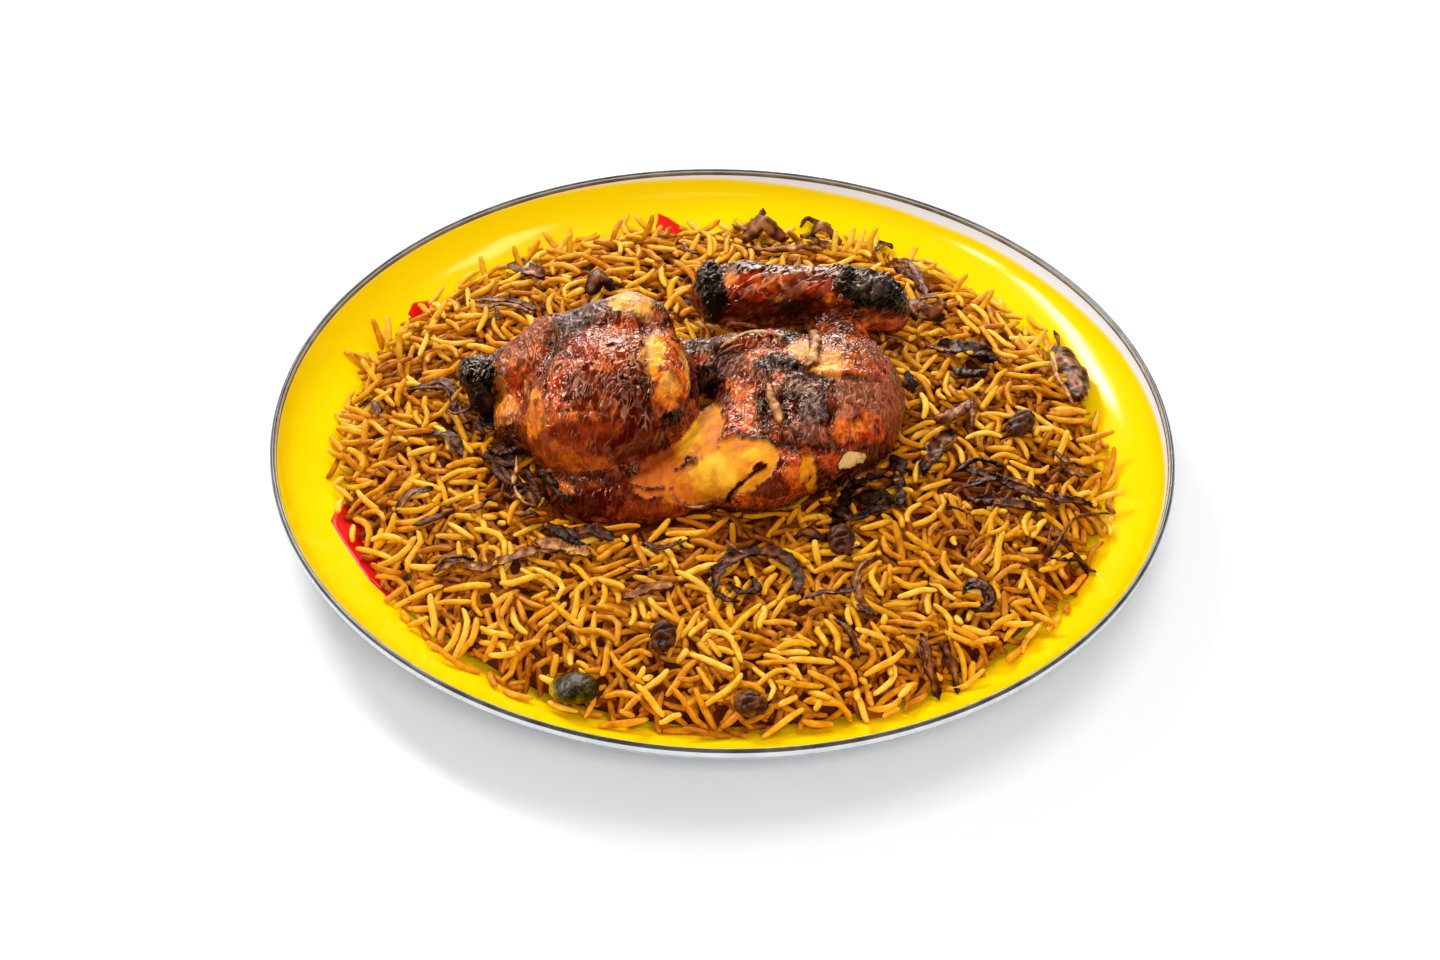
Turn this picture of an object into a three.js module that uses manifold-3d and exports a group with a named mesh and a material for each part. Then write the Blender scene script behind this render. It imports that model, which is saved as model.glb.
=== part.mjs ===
// A round plate of spiced long-grain rice with half a grilled chicken on top.
// Millimetres, +Z up. The origin is the middle of the plate's flat base, and the drumstick points along -X.
import * as THREE from "three";
import { mergeVertices } from "three/addons/utils/BufferGeometryUtils.js";
import Module from "manifold-3d";

const wasm = await Module();
wasm.setup();

// Driving dimensions of the plate: a pressed steel sheet with a rolled edge, enamelled inside.
const PLATE_RADIUS = 175;
const PLATE_HEIGHT = 34;
const SHEET = 1.1;
const BEAD_RADIUS = 1.2;
const FLOOR_RADIUS = 84;
const WALL_RADIUS = 172.6;
const WALL_DEPTH = 31.9;
const DISH_SHARE = 0.72;
const LIP_POWER = 20;
const PLATE_SIDES = 60;

// Driving dimensions of the heap of rice. Its edge is given as radii at every 30 degrees.
const HEAP_EDGE = [150.5, 154, 154.5, 153, 153.5, 156, 153.5, 150.5, 149.5, 149, 149.5, 150.5];
const HEAP_LIFT = 0.6;
const SHOULDER_RISE = 10;
const SHOULDER_REACH = 8;
const DOME_RISE = 12;
const DOME_REACH = 50;
const HEAP_RINGS = 24;
const BUMP_DEPTH = 2.2;
const GRAIN_LENGTH = 18;
const GRAIN_RADIUS = 1.4;
const LOOSE_GRAINS = 80;

// The chicken and its socket in the rice are found on grids. Toppings lie just clear of the rice.
const CHICKEN_STEP = 6.1;
const SOCKET_STEP = 9;
const SOCKET_GAP = 2.2;
const TOPPING_GAP = 0.4;

const material = (color, roughness, metalness = 0) =>
  new THREE.MeshStandardMaterial({ color, roughness, metalness });
const enamel = material(0xf5c800, 0.15, 0.1);
const rice = material(0xc98a2b, 0.6);
const roast = material(0x7a3310, 0.35);
const onion = material(0x4a2412, 0.5);
const raisin = material(0x2e1710, 0.45);
const pepper = material(0x3c4216, 0.3);

function seeded(seed) {
  let state = seed;
  return () => {
    state = (state * 1664525 + 1013904223) % 4294967296;
    return state / 4294967296;
  };
}

function mesh(name, geometry, look) {
  const made = new THREE.Mesh(geometry, look);
  made.name = name;
  return made;
}

function geometryOf(points, triangles) {
  return new THREE.BufferGeometry()
    .setAttribute("position", new THREE.Float32BufferAttribute(points.flat(), 3))
    .setIndex(triangles.flat());
}

// A solid that can be joined and cut, and the way back from it.
function solidOf(geometry) {
  const merged = mergeVertices(geometry, 1e-4);
  return new wasm.Manifold(
    new wasm.Mesh({
      numProp: 3,
      vertProperties: new Float32Array(merged.attributes.position.array),
      triVerts: new Uint32Array(merged.index.array),
    }),
  );
}

function geometryOfSolid(solid) {
  const { vertProperties, triVerts } = solid.getMesh();
  return new THREE.BufferGeometry()
    .setAttribute("position", new THREE.BufferAttribute(vertProperties, 3))
    .setIndex(new THREE.BufferAttribute(triVerts, 1));
}

// The plate's inner face: a flat floor, a dished wall, and a steep lip under the bead.
function wallHeight(radius) {
  const t = THREE.MathUtils.clamp((radius - FLOOR_RADIUS) / (WALL_RADIUS - FLOOR_RADIUS), 0, 1);
  return SHEET + WALL_DEPTH * (DISH_SHARE * t ** 2 + (1 - DISH_SHARE) * t ** LIP_POWER);
}

function plateProfile() {
  const stations = [0, 0.22, 0.44, 0.66, 0.86, 0.96, 1];
  const inner = stations.map((t) => {
    const radius = THREE.MathUtils.lerp(FLOOR_RADIUS, WALL_RADIUS, t);
    return new THREE.Vector2(radius, wallHeight(radius));
  });
  const outer = inner.slice(0, -1).map((point, i) => {
    const along = inner[i + 1].clone().sub(inner[Math.max(i - 1, 0)]).normalize();
    return new THREE.Vector2(point.x + along.y * SHEET, Math.max(point.y - along.x * SHEET, 0));
  });
  const bead = [-Math.PI / 2, 0, Math.PI / 2].map(
    (angle) =>
      new THREE.Vector2(
        PLATE_RADIUS - BEAD_RADIUS * (1 - Math.cos(angle)),
        PLATE_HEIGHT - BEAD_RADIUS * (1 - Math.sin(angle)),
      ),
  );
  const [underside, upside] = [new THREE.Vector2(0, 0), new THREE.Vector2(0, SHEET)];
  return [underside, ...outer, ...bead, ...inner.reverse(), upside];
}

// The heap's edge eases from each given radius to the next.
function heapEdge(angle) {
  const count = HEAP_EDGE.length;
  const place = ((angle / (2 * Math.PI) + 1) % 1) * count;
  const i = Math.floor(place) % count;
  const ease = (1 - Math.cos(Math.PI * (place % 1))) / 2;
  return THREE.MathUtils.lerp(HEAP_EDGE[i], HEAP_EDGE[(i + 1) % count], ease);
}

// The heap's bare top: a steep shoulder at the edge, then a low dome.
function heapTop(x, y) {
  const edge = heapEdge(Math.atan2(y, x));
  const inward = Math.max(edge - Math.hypot(x, y), 0);
  return (
    wallHeight(edge) +
    HEAP_LIFT +
    SHOULDER_RISE * (1 - Math.exp(-inward / SHOULDER_REACH)) +
    DOME_RISE * (1 - Math.exp(-inward / DOME_REACH))
  );
}

// Triangles between an outer ring of point numbers and an inner one, which may have fewer points.
function stitch(outer, inner) {
  const triangles = [];
  let [i, j] = [0, 0];
  while (i < outer.length || j < inner.length) {
    const outerIsNext = (i + 1) / outer.length <= (j + 1) / inner.length;
    const [from, to] = [outer[i % outer.length], inner[j % inner.length]];
    if (outerIsNext) i += 1;
    else j += 1;
    const next = outerIsNext ? outer[i % outer.length] : inner[j % inner.length];
    if (next !== to) triangles.push([from, next, to]);
  }
  return triangles;
}

function heapCore() {
  const draw = seeded(11);
  const points = [];
  const addRing = (count, share, height) =>
    Array.from({ length: count }, (_, i) => {
      const angle = (2 * Math.PI * i) / count;
      const radius = share * heapEdge(angle);
      const [x, y] = [radius * Math.cos(angle), radius * Math.sin(angle)];
      return points.push([x, y, height(x, y)]) - 1;
    });
  const bumpy = (x, y) => heapTop(x, y) - BUMP_DEPTH * draw();
  const resting = (x, y) => wallHeight(Math.hypot(x, y)) + HEAP_LIFT;
  const edge = addRing(6 * HEAP_RINGS, 1, resting);
  const triangles = [];
  let outer = edge;
  for (let ring = HEAP_RINGS - 1; ring >= 0; ring -= 1) {
    const inner = addRing(Math.max(6 * ring, 1), ring / HEAP_RINGS, bumpy);
    triangles.push(...stitch(outer, inner));
    outer = inner;
  }
  const UNDERSIDE_RINGS = 6;
  const UNDERSIDE_POINTS = 14;
  outer = edge;
  for (let ring = UNDERSIDE_RINGS - 1; ring >= 0; ring -= 1) {
    const inner = addRing(Math.max(UNDERSIDE_POINTS * ring, 1), Math.sqrt(ring / UNDERSIDE_RINGS), resting);
    triangles.push(...stitch(outer, inner).map(([a, b, c]) => [a, c, b]));
    outer = inner;
  }
  return solidOf(geometryOf(points, triangles));
}

// One loose grain: a bent spindle with five sides, along X before it is turned.
function grain(length, bend) {
  const SIDES = 5;
  const rings = [
    [0.12, 0.8],
    [0.5, 1],
    [0.88, 0.8],
  ];
  const place = (t) => [(t - 0.5) * length, bend * (1 - (2 * t - 1) ** 2)];
  const points = [[...place(0), 0]];
  for (const [t, share] of rings)
    for (let i = 0; i < SIDES; i += 1) {
      const angle = (2 * Math.PI * i) / SIDES;
      const [x, y] = place(t);
      const radius = GRAIN_RADIUS * share;
      points.push([x, y + radius * Math.cos(angle), radius * Math.sin(angle)]);
    }
  const last = points.push([...place(1), 0]) - 1;
  const triangles = [];
  for (let i = 0; i < SIDES; i += 1) {
    const next = (i + 1) % SIDES;
    triangles.push([0, 1 + next, 1 + i], [last - SIDES + i, last - SIDES + next, last]);
    for (let ring = 0; ring < rings.length - 1; ring += 1) {
      const [near, far] = [1 + ring * SIDES, 1 + (ring + 1) * SIDES];
      triangles.push([near + i, near + next, far + next], [near + i, far + next, far + i]);
    }
  }
  return geometryOf(points, triangles);
}

// Distances to the rounded forms that the chicken is blended from.
function egg(centre, [rx, ry, rz], yaw = 0, roll = 0) {
  const turn = new THREE.Euler(THREE.MathUtils.degToRad(roll), 0, THREE.MathUtils.degToRad(yaw), "ZYX");
  const toLocal = new THREE.Matrix4().makeRotationFromEuler(turn).setPosition(...centre).invert();
  return (p) => {
    const q = p.clone().applyMatrix4(toLocal);
    const near = Math.hypot(q.x / rx, q.y / ry, q.z / rz);
    const slope = Math.hypot(q.x / rx ** 2, q.y / ry ** 2, q.z / rz ** 2);
    return (near * (near - 1)) / Math.max(slope, 1e-6);
  };
}

function limb(from, to, fromRadius, toRadius) {
  const axis = new THREE.Line3(new THREE.Vector3(...from), new THREE.Vector3(...to));
  const nearest = new THREE.Vector3();
  return (p) => {
    const t = axis.closestPointToPointParameter(p, true);
    return p.distanceTo(axis.at(t, nearest)) - THREE.MathUtils.lerp(fromRadius, toRadius, t);
  };
}

// Forms run into the first one, each over the given length.
function blend(length, first, ...others) {
  return (p) =>
    others.reduce((distance, form) => {
      const other = form(p);
      const share = Math.max(length - Math.abs(distance - other), 0) / length;
      return Math.min(distance, other) - (share ** 2 * length) / 4;
    }, first(p));
}

function legForm() {
  const ankle = blend(
    3,
    egg([-97.5, 18, 46.5], [6.5, 7.5, 6.2]),
    egg([-93, 13, 40], [6.5, 6.5, 7.5]),
    limb([-95, 16, 44], [-82, 17, 46], 5.5, 9.5),
  );
  const cuff = limb([-85, 18, 46.5], [-66, 21, 52], 10, 14);
  const drumstick = limb([-64, 24, 54], [-38, 30, 57], 13, 17.5);
  const thigh = egg([-47.5, -4, 49], [31, 33, 24], -15, 18);
  const thighEdge = egg([-26, 8, 49], [15, 30, 22], 12);
  const haunch = egg([-72, 2, 38], [17, 16, 11]);
  const shin = blend(9, blend(5, ankle, cuff), drumstick);
  return blend(5, blend(4, shin, blend(6, thigh, thighEdge)), haunch);
}

function breastForm() {
  const breast = egg([33, 2, 44], [35, 37, 23], -8);
  const shoulder = egg([48, 14, 44], [19, 25, 20]);
  const fillet = egg([12, -20, 42], [30, 31, 17], 35, -10);
  const belly = egg([-34, -30, 34], [33, 21, 12.5], 5);
  const saddle = limb([-12, 26, 42], [20, 28, 46], 14, 14);
  return blend(8, blend(6, blend(10, breast, shoulder), fillet), belly, saddle);
}

function wingForm() {
  const flat = blend(10, egg([12, 67, 50], [25, 12, 13], 2), egg([46, 67, 50], [24, 12, 12.5], -3));
  const elbow = limb([-3, 67, 51], [5, 67, 51], 10, 12);
  const tip = limb([50, 67, 49], [64, 65, 46], 10, 8.5);
  const upperBone = limb([44, 56, 43], [50, 28, 42], 9, 13);
  return blend(4, blend(5, flat, elbow, tip), upperBone);
}

const chickenForm = blend(4, blend(2.5, breastForm(), legForm()), wingForm());
const CHICKEN_BOX = [
  [-105, -52, 20],
  [75, 81, 76],
];

// Moves a point that is near a form's surface onto it.
function ontoForm(form, point, offset) {
  const REACH = 0.3;
  const LEAST_SLOPE = 0.2;
  const slope = new THREE.Vector3();
  for (const name of ["x", "y", "z"]) {
    const [ahead, behind] = [point.clone(), point.clone()];
    ahead[name] += REACH;
    behind[name] -= REACH;
    slope[name] = (form(ahead) - form(behind)) / (2 * REACH);
  }
  const share = (form(point) - offset) / Math.max(slope.lengthSq(), LEAST_SLOPE);
  return point.addScaledVector(slope, -share);
}

// The surface where a form's distance equals the offset: one point in each grid cell that the
// surface passes through, and one quad round each grid edge that it crosses.
function surfaceOf(form, box, step, offset = 0) {
  const margin = 2 * step + offset;
  const low = box[0].map((v) => v - margin);
  const counts = low.map((v, i) => Math.ceil((box[1][i] + margin - v) / step) + 1);
  const number = ([i, j, k]) => (i * counts[1] + j) * counts[2] + k;
  const place = (node) => new THREE.Vector3(...node.map((n, i) => low[i] + n * step));
  const nodes = [];
  for (let i = 0; i < counts[0]; i += 1)
    for (let j = 0; j < counts[1]; j += 1)
      for (let k = 0; k < counts[2]; k += 1) nodes.push([i, j, k]);
  const values = nodes.map((node) => form(place(node)) - offset);

  const cells = new Map();
  const quads = [];
  const around = [
    [-1, -1],
    [0, -1],
    [0, 0],
    [-1, 0],
  ];
  for (const node of nodes)
    for (let axis = 0; axis < 3; axis += 1) {
      const next = node.with(axis, node[axis] + 1);
      if (next[axis] === counts[axis]) continue;
      const [a, b] = [values[number(node)], values[number(next)]];
      if (a < 0 === b < 0) continue;
      const crossing = place(node).lerp(place(next), a / (a - b));
      const [u, v] = [(axis + 1) % 3, (axis + 2) % 3];
      const quad = around.map(([du, dv]) => {
        const cell = number(node.with(u, node[u] + du).with(v, node[v] + dv));
        if (!cells.has(cell)) cells.set(cell, { id: cells.size, crossings: [] });
        cells.get(cell).crossings.push(crossing);
        return cells.get(cell).id;
      });
      quads.push(a < 0 ? quad : quad.reverse());
    }
  const points = [...cells.values()].map(({ crossings }) => {
    const middle = new THREE.Vector3();
    for (const crossing of crossings) middle.addScaledVector(crossing, 1 / crossings.length);
    return ontoForm(form, middle, offset).toArray();
  });
  const triangles = quads.flatMap(([a, b, c, d]) => [
    [a, b, c],
    [a, c, d],
  ]);
  return geometryOf(points, triangles);
}

// A topping that lies on the bare rice, or on the wall past its edge: a path with a width, a thickness
// at its crown and a lift that arches it off the rice. A plump one swells to its middle.
function topping({ path, width, thick, lift = 0, steps = 4, plump = false }) {
  const BLUNT_END = 0.35;
  const END_TAPER = 6;
  const EDGE_SHARE = 0.5;
  const curve = new THREE.CatmullRomCurve3(path.map(([x, y]) => new THREE.Vector3(x, y, 0)));
  const section = [
    [-1, 0],
    [0, 0],
    [1, 0],
    [1, EDGE_SHARE],
    [0, 1],
    [-1, EDGE_SHARE],
  ];
  const points = [];
  for (let step = 0; step <= steps; step += 1) {
    const t = step / steps;
    const middle = curve.getPoint(t);
    const along = curve.getTangent(t);
    const fromEnd = Math.min(t, 1 - t);
    const swell = plump
      ? Math.max(Math.sqrt(1 - (2 * t - 1) ** 2), BLUNT_END)
      : Math.min(BLUNT_END + END_TAPER * fromEnd, 1);
    for (const [side, rise] of section) {
      const x = middle.x - (along.y * side * width * swell) / 2;
      const y = middle.y + (along.x * side * width * swell) / 2;
      const bed = Math.max(heapTop(x, y), wallHeight(Math.hypot(x, y)));
      points.push([x, y, bed + TOPPING_GAP + lift * Math.sin(Math.PI * t) ** 2 + rise * thick * swell]);
    }
  }
  const triangles = [];
  const sides = section.length;
  for (let i = 0; i < sides; i += 1)
    for (let step = 0; step < steps; step += 1) {
      const [near, far] = [step * sides, (step + 1) * sides];
      const next = (i + 1) % sides;
      triangles.push([near + i, near + next, far + next], [near + i, far + next, far + i]);
    }
  const end = steps * sides;
  for (let i = 1; i < sides - 1; i += 1) triangles.push([0, i + 1, i], [end, end + i, end + i + 1]);
  return geometryOf(points, triangles);
}

// Shreds and petals of fried onion.
const ONIONS = [
  { path: [[-90, 113], [-82, 106], [-74, 98]], width: 7, thick: 2.5 },
  { path: [[-104, 83], [-91, 82], [-83, 79], [-76, 73]], width: 3.4, thick: 1.6 },
  { path: [[-55, 84], [-52, 92], [-45, 90]], width: 7, thick: 3, lift: 4 },
  { path: [[-123, 27], [-112, 28], [-106, 21], [-106, 12]], width: 3, thick: 1.5, lift: 2 },
  { path: [[-144, 26], [-138, 24], [-135, 14]], width: 3, thick: 1.5, lift: 1 },
  { path: [[-113, -1], [-105, -6], [-100, -16]], width: 4, thick: 2, lift: 2 },
  { path: [[-92, -16], [-85, -16], [-80, -23]], width: 6.5, thick: 2.5 },
  { path: [[-124, -42], [-119, -35], [-110, -32]], width: 3, thick: 1.5, lift: 1.5 },
  { path: [[-117, -50], [-108, -47], [-101, -44]], width: 3, thick: 1.5 },
  { path: [[-81, -40], [-75, -37], [-70, -44]], width: 4, thick: 1.8, lift: 2 },
  { path: [[-63, -56], [-56, -61], [-49, -59], [-40, -63]], width: 6, thick: 2.5, lift: 1 },
  {
    path: [[-107, -75], [-98, -71], [-89, -77], [-78, -72], [-65, -68], [-49, -70]],
    width: 4.5,
    thick: 1.8,
    lift: 1,
    steps: 9,
  },
  { path: [[-36, -93], [-27, -89], [-17, -86]], width: 5, thick: 2 },
  {
    path: [[-2, -90], [0, -78], [9, -70], [21, -70], [29, -79], [29, -90]],
    width: 5,
    thick: 2.2,
    lift: 1,
    steps: 9,
  },
  { path: [[28, -60], [33, -57], [38, -60]], width: 4, thick: 2 },
  { path: [[59, -68], [52, -77], [52, -90], [58, -98]], width: 2.8, thick: 1.6, lift: 2 },
  { path: [[91, -81], [96, -77], [101, -83], [99, -90]], width: 4, thick: 2, lift: 1 },
  { path: [[75, -104], [77, -116], [82, -125]], width: 4, thick: 2, lift: 1.5 },
  { path: [[82, -106], [87, -114], [89, -122]], width: 3.4, thick: 2 },
  { path: [[43, -101], [48, -107], [52, -118]], width: 3, thick: 1.6, lift: 1 },
  { path: [[91, -15], [107, -23], [126, -28], [145, -22]], width: 5, thick: 2, lift: 1, steps: 7 },
  { path: [[97, -33], [110, -34], [124, -35]], width: 4.5, thick: 2 },
  { path: [[128, -42], [130, -50], [140, -55]], width: 3, thick: 1.6, lift: 1.5 },
  { path: [[77, -22], [81, -9], [89, 4]], width: 8, thick: 2.5 },
  { path: [[82, 11], [89, 14], [98, 24]], width: 7, thick: 2.2, lift: 1 },
  { path: [[72, 76], [77, 82], [88, 77]], width: 7, thick: 2.5, lift: 2 },
  { path: [[6, 128], [14, 134], [25, 131]], width: 8, thick: 3, lift: 7 },
  { path: [[33, 138], [39, 131], [47, 132]], width: 7, thick: 3, lift: 8 },
  { path: [[68, 112], [76, 108], [80, 94]], width: 5, thick: 2, lift: 1 },
  { path: [[84, 54], [94, 57], [107, 50]], width: 8, thick: 2.5 },
  { path: [[133, 77], [138, 61], [141, 38]], width: 13, thick: 5, plump: true },
];

const RAISINS = [
  { path: [[-20, -107], [-20, -119]], width: 8, thick: 6.5 },
  { path: [[45, -55], [46, -68]], width: 9, thick: 6.5 },
  { path: [[7, -139], [18, -139]], width: 9, thick: 6 },
  { path: [[112, 5], [120, 19]], width: 8, thick: 6 },
];

const PEPPER = { path: [[-61, -129], [-52, -131], [-43, -134]], width: 15, thick: 6.5 };

const plate = mesh("plate", new THREE.LatheGeometry(plateProfile(), PLATE_SIDES), enamel);
plate.rotation.x = Math.PI / 2;

const chicken = mesh("chicken", surfaceOf(chickenForm, CHICKEN_BOX, CHICKEN_STEP), roast);

const toppings = [
  ...ONIONS.map((shape, i) => mesh(`onion_${i + 1}`, topping(shape), onion)),
  ...RAISINS.map((shape, i) => mesh(`raisin_${i + 1}`, topping({ ...shape, plump: true }), raisin)),
  mesh("pepper_slice", topping({ ...PEPPER, plump: true }), pepper),
];

// Loose grains lie half sunk at even spacing in a spiral, clear of the chicken, the toppings and the edge.
function looseGrains() {
  const CLEAR = 3;
  const EDGE_MARGIN = 6;
  const GOLDEN_ANGLE = Math.PI * (3 - Math.sqrt(5));
  const draw = seeded(5);
  const taken = toppings.map((item) => new THREE.Box3().setFromObject(item).expandByScalar(CLEAR));
  const grains = [];
  for (let i = 0; i < LOOSE_GRAINS; i += 1) {
    const angle = i * GOLDEN_ANGLE;
    const radius = Math.sqrt((i + 0.5) / LOOSE_GRAINS) * (heapEdge(angle) - EDGE_MARGIN);
    const [x, y] = [radius * Math.cos(angle), radius * Math.sin(angle)];
    const heading = 2 * Math.PI * draw();
    const reach = GRAIN_LENGTH / 2;
    const along = [-1, 0, 1].map((side) => {
      const [px, py] = [x + side * reach * Math.cos(heading), y + side * reach * Math.sin(heading)];
      return new THREE.Vector3(px, py, heapTop(px, py));
    });
    const dip = Math.atan2(along[0].z - along[2].z, 2 * reach);
    const turn = new THREE.Euler(2 * Math.PI * draw(), dip, heading, "ZYX");
    const loose = grain(GRAIN_LENGTH * (0.8 + 0.3 * draw()), 2 * draw());
    loose.applyMatrix4(
      new THREE.Matrix4().makeRotationFromEuler(turn).setPosition(x, y, heapTop(x, y) - GRAIN_RADIUS / 2),
    );
    loose.computeBoundingBox();
    const clear =
      along.every((p) => chickenForm(p) > CLEAR) &&
      along.every((p) => Math.hypot(p.x, p.y) < heapEdge(Math.atan2(p.y, p.x)) - GRAIN_RADIUS) &&
      !taken.some((box) => box.intersectsBox(loose.boundingBox));
    if (clear) grains.push(loose);
  }
  return grains;
}

// The heap is one body: its core with the loose grains joined on and the chicken's socket cut out. The
// socket is also open under the fold between thigh and breast, where no rice is pressed in.
const foldForm = egg([-12, 12, 32], [38, 26, 14]);
const socketForm = blend(8, chickenForm, foldForm);
const socket = solidOf(surfaceOf(socketForm, CHICKEN_BOX, SOCKET_STEP, SOCKET_GAP));
const joined = looseGrains().reduce((heap, loose) => heap.add(solidOf(loose)), heapCore());
const pieces = joined.subtract(socket).decompose();
const [heap] = pieces.sort((a, b) => b.volume() - a.volume());
const riceHeap = mesh("rice_heap", geometryOfSolid(heap), rice);

const part = new THREE.Group();
part.add(plate, riceHeap, chicken, ...toppings);

export default part;
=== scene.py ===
import math

import bpy
import numpy as np
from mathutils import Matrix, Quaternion, Vector


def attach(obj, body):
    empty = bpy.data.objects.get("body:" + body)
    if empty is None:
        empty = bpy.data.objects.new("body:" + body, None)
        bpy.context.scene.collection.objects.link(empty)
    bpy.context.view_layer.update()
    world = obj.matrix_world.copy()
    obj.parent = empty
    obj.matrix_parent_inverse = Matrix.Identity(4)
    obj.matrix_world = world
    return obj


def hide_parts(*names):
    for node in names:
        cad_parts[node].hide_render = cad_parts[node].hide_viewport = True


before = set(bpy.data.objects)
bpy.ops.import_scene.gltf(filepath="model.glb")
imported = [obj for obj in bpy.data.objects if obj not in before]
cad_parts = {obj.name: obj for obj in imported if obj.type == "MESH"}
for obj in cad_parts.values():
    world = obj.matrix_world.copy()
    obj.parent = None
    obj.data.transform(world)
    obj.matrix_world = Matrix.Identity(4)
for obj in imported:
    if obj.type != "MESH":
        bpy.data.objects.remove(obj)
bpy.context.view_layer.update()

# A round plate of spiced long-grain rice with half a grilled chicken on top.
# Shapes are worked out in millimetres, +Z up, from the middle of the plate's flat base.
MM = 0.001

# The plate: a pressed steel sheet with a rolled edge, enamelled yellow inside.
PLATE_RADIUS = 175
PLATE_HEIGHT = 34
SHEET = 1.1
BEAD_HALF_HEIGHT = 2.2
BEAD_HALF_WIDTH = 1.15
BEAD_STEPS = 37
FLOOR_RADIUS = 84
WALL_RADIUS = PLATE_RADIUS - 2.4
WALL_DEPTH = 31.9
DISH_SHARE = 0.72
LIP_POWER = 20
# Pressed enamelware is never quite true: its wall ripples by up to a quarter of a millimetre.
WALL_RIPPLE = 0.35
RIPPLE_SIZE = 38

# The heap of rice. Its edge is given as radii at every 30 degrees.
HEAP_EDGE = [150.5, 154, 154.5, 153, 153.5, 155.5, 149.5, 145.5, 146, 146.5, 147.5, 150]
HEAP_LIFT = 0.6
SHOULDER_RISE = 10
SHOULDER_REACH = 8
DOME_RISE = 12
DOME_REACH = 50
TOPPING_GAP = 0.4

# The eye that looks at the plate. The marks on the chicken are laid out as they show from here, in
# millimetres to the right of and above the middle of the plane through the rim.
EYE_DISTANCE = 1551
EYE_ELEVATION = math.radians(39.94)
EYE_ROLL = math.radians(1.45)
EYE_REACH = EYE_DISTANCE * math.cos(EYE_ELEVATION)
EYE_RISE = EYE_DISTANCE * math.sin(EYE_ELEVATION)
RIM_HEIGHT = PLATE_HEIGHT - SHEET
AIM = Vector((-0.72, -25.93, RIM_HEIGHT))
EYE = Vector((0, -EYE_REACH, RIM_HEIGHT + EYE_RISE))
EYE_TURN = (AIM - EYE).to_track_quat("-Z", "Y") @ Quaternion((0, 0, 1), EYE_ROLL)
EYE_PLACE = np.array(EYE)
EYE_AXES = np.array(EYE_TURN.to_matrix())


# Helpers for numbers, noise and meshes

def smooth(low, high, value):
    """0 up to low, 1 from high on, and eased between them. Low may be the larger."""
    t = np.clip((value - low) / (high - low), 0, 1)
    return t * t * (3 - 2 * t)


def lerp(a, b, share):
    return a + (b - a) * share


def unit(vectors):
    """Vectors along the last axis, scaled to a length of 1."""
    return vectors / np.maximum(np.linalg.norm(vectors, axis=-1, keepdims=True), 1e-9)


def length_of(path):
    return np.linalg.norm(np.diff(np.array(path, float), axis=0), axis=1).sum()


LATTICE = 32
lattice_draw = np.random.default_rng(3)
SLOPES = unit(lattice_draw.normal(size=(LATTICE, LATTICE, LATTICE, 3)))
SEEDS = lattice_draw.random((LATTICE, LATTICE, LATTICE, 3))


def noise(points, size, shift=0.0):
    """Smooth noise round 0, within about 0.7 either way, whose lumps are about size across."""
    place = points / size + shift
    cell = np.floor(place).astype(np.int64)
    offset = place - cell
    ease = offset ** 3 * (offset * (offset * 6 - 15) + 10)
    total = np.zeros(len(points))
    for corner in np.ndindex(2, 2, 2):
        i, j, k = ((cell + corner) % LATTICE).T
        share = np.prod(np.where(corner, ease, 1 - ease), axis=1)
        total += share * np.einsum("ij,ij->i", SLOPES[i, j, k], offset - corner)
    return total


def cracks(points, size, shift=0.0):
    """0 on the borders between cells about size across, rising to about 1 in their middles."""
    place = points / size + shift
    cell = np.floor(place).astype(np.int64)
    first = np.full(len(points), 9.0)
    second = np.full(len(points), 9.0)
    for step in np.ndindex(3, 3, 3):
        corner = cell + np.array(step) - 1
        i, j, k = (corner % LATTICE).T
        distance = np.linalg.norm(place - corner - SEEDS[i, j, k], axis=1)
        second = np.minimum(second, np.maximum(distance, first))
        first = np.minimum(first, distance)
    return second - first


def make_mesh(name, points, faces, look, floats={}, colours={}):
    """A smooth mesh object from points in millimetres and a list of arrays of faces."""
    mesh = bpy.data.meshes.new(name)
    mesh.vertices.add(len(points))
    mesh.vertices.foreach_set("co", (np.asarray(points, float) * MM).ravel())
    corners = np.concatenate([np.asarray(block).ravel() for block in faces])
    sizes = np.concatenate([np.full(len(block), np.shape(block)[1]) for block in faces])
    mesh.loops.add(len(corners))
    mesh.loops.foreach_set("vertex_index", corners.astype(np.int32))
    mesh.polygons.add(len(sizes))
    mesh.polygons.foreach_set("loop_start", (np.cumsum(sizes) - sizes).astype(np.int32))
    mesh.update(calc_edges=True)
    mesh.polygons.foreach_set("use_smooth", np.ones(len(sizes), bool))
    for label, values in floats.items():
        mesh.attributes.new(label, "FLOAT", "POINT").data.foreach_set("value", np.asarray(values, float))
    for label, values in colours.items():
        rgba = np.hstack([values, np.ones((len(values), 1))])
        mesh.attributes.new(label, "FLOAT_COLOR", "POINT").data.foreach_set("color", rgba.ravel())
    mesh.materials.append(look)
    piece = bpy.data.objects.new(name, mesh)
    bpy.context.scene.collection.objects.link(piece)
    return piece


def dress(piece, slot, *replaced):
    """Sets a finished piece on the object's one body, in place of the replaced solids."""
    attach(piece, "root")
    if replaced:
        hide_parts(*replaced)


def band(near, far):
    """Quads between two closed rings of point numbers, or between rows of such rings."""
    corners = [near, np.roll(near, -1, -1), np.roll(far, -1, -1), far]
    return np.stack(corners, -1).reshape(-1, 4)


def fan(pole, ring):
    """Triangles from the number of a pole to the sides of a closed ring of point numbers."""
    return np.stack([np.full(len(ring), pole), ring, np.roll(ring, -1)], 1)


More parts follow.
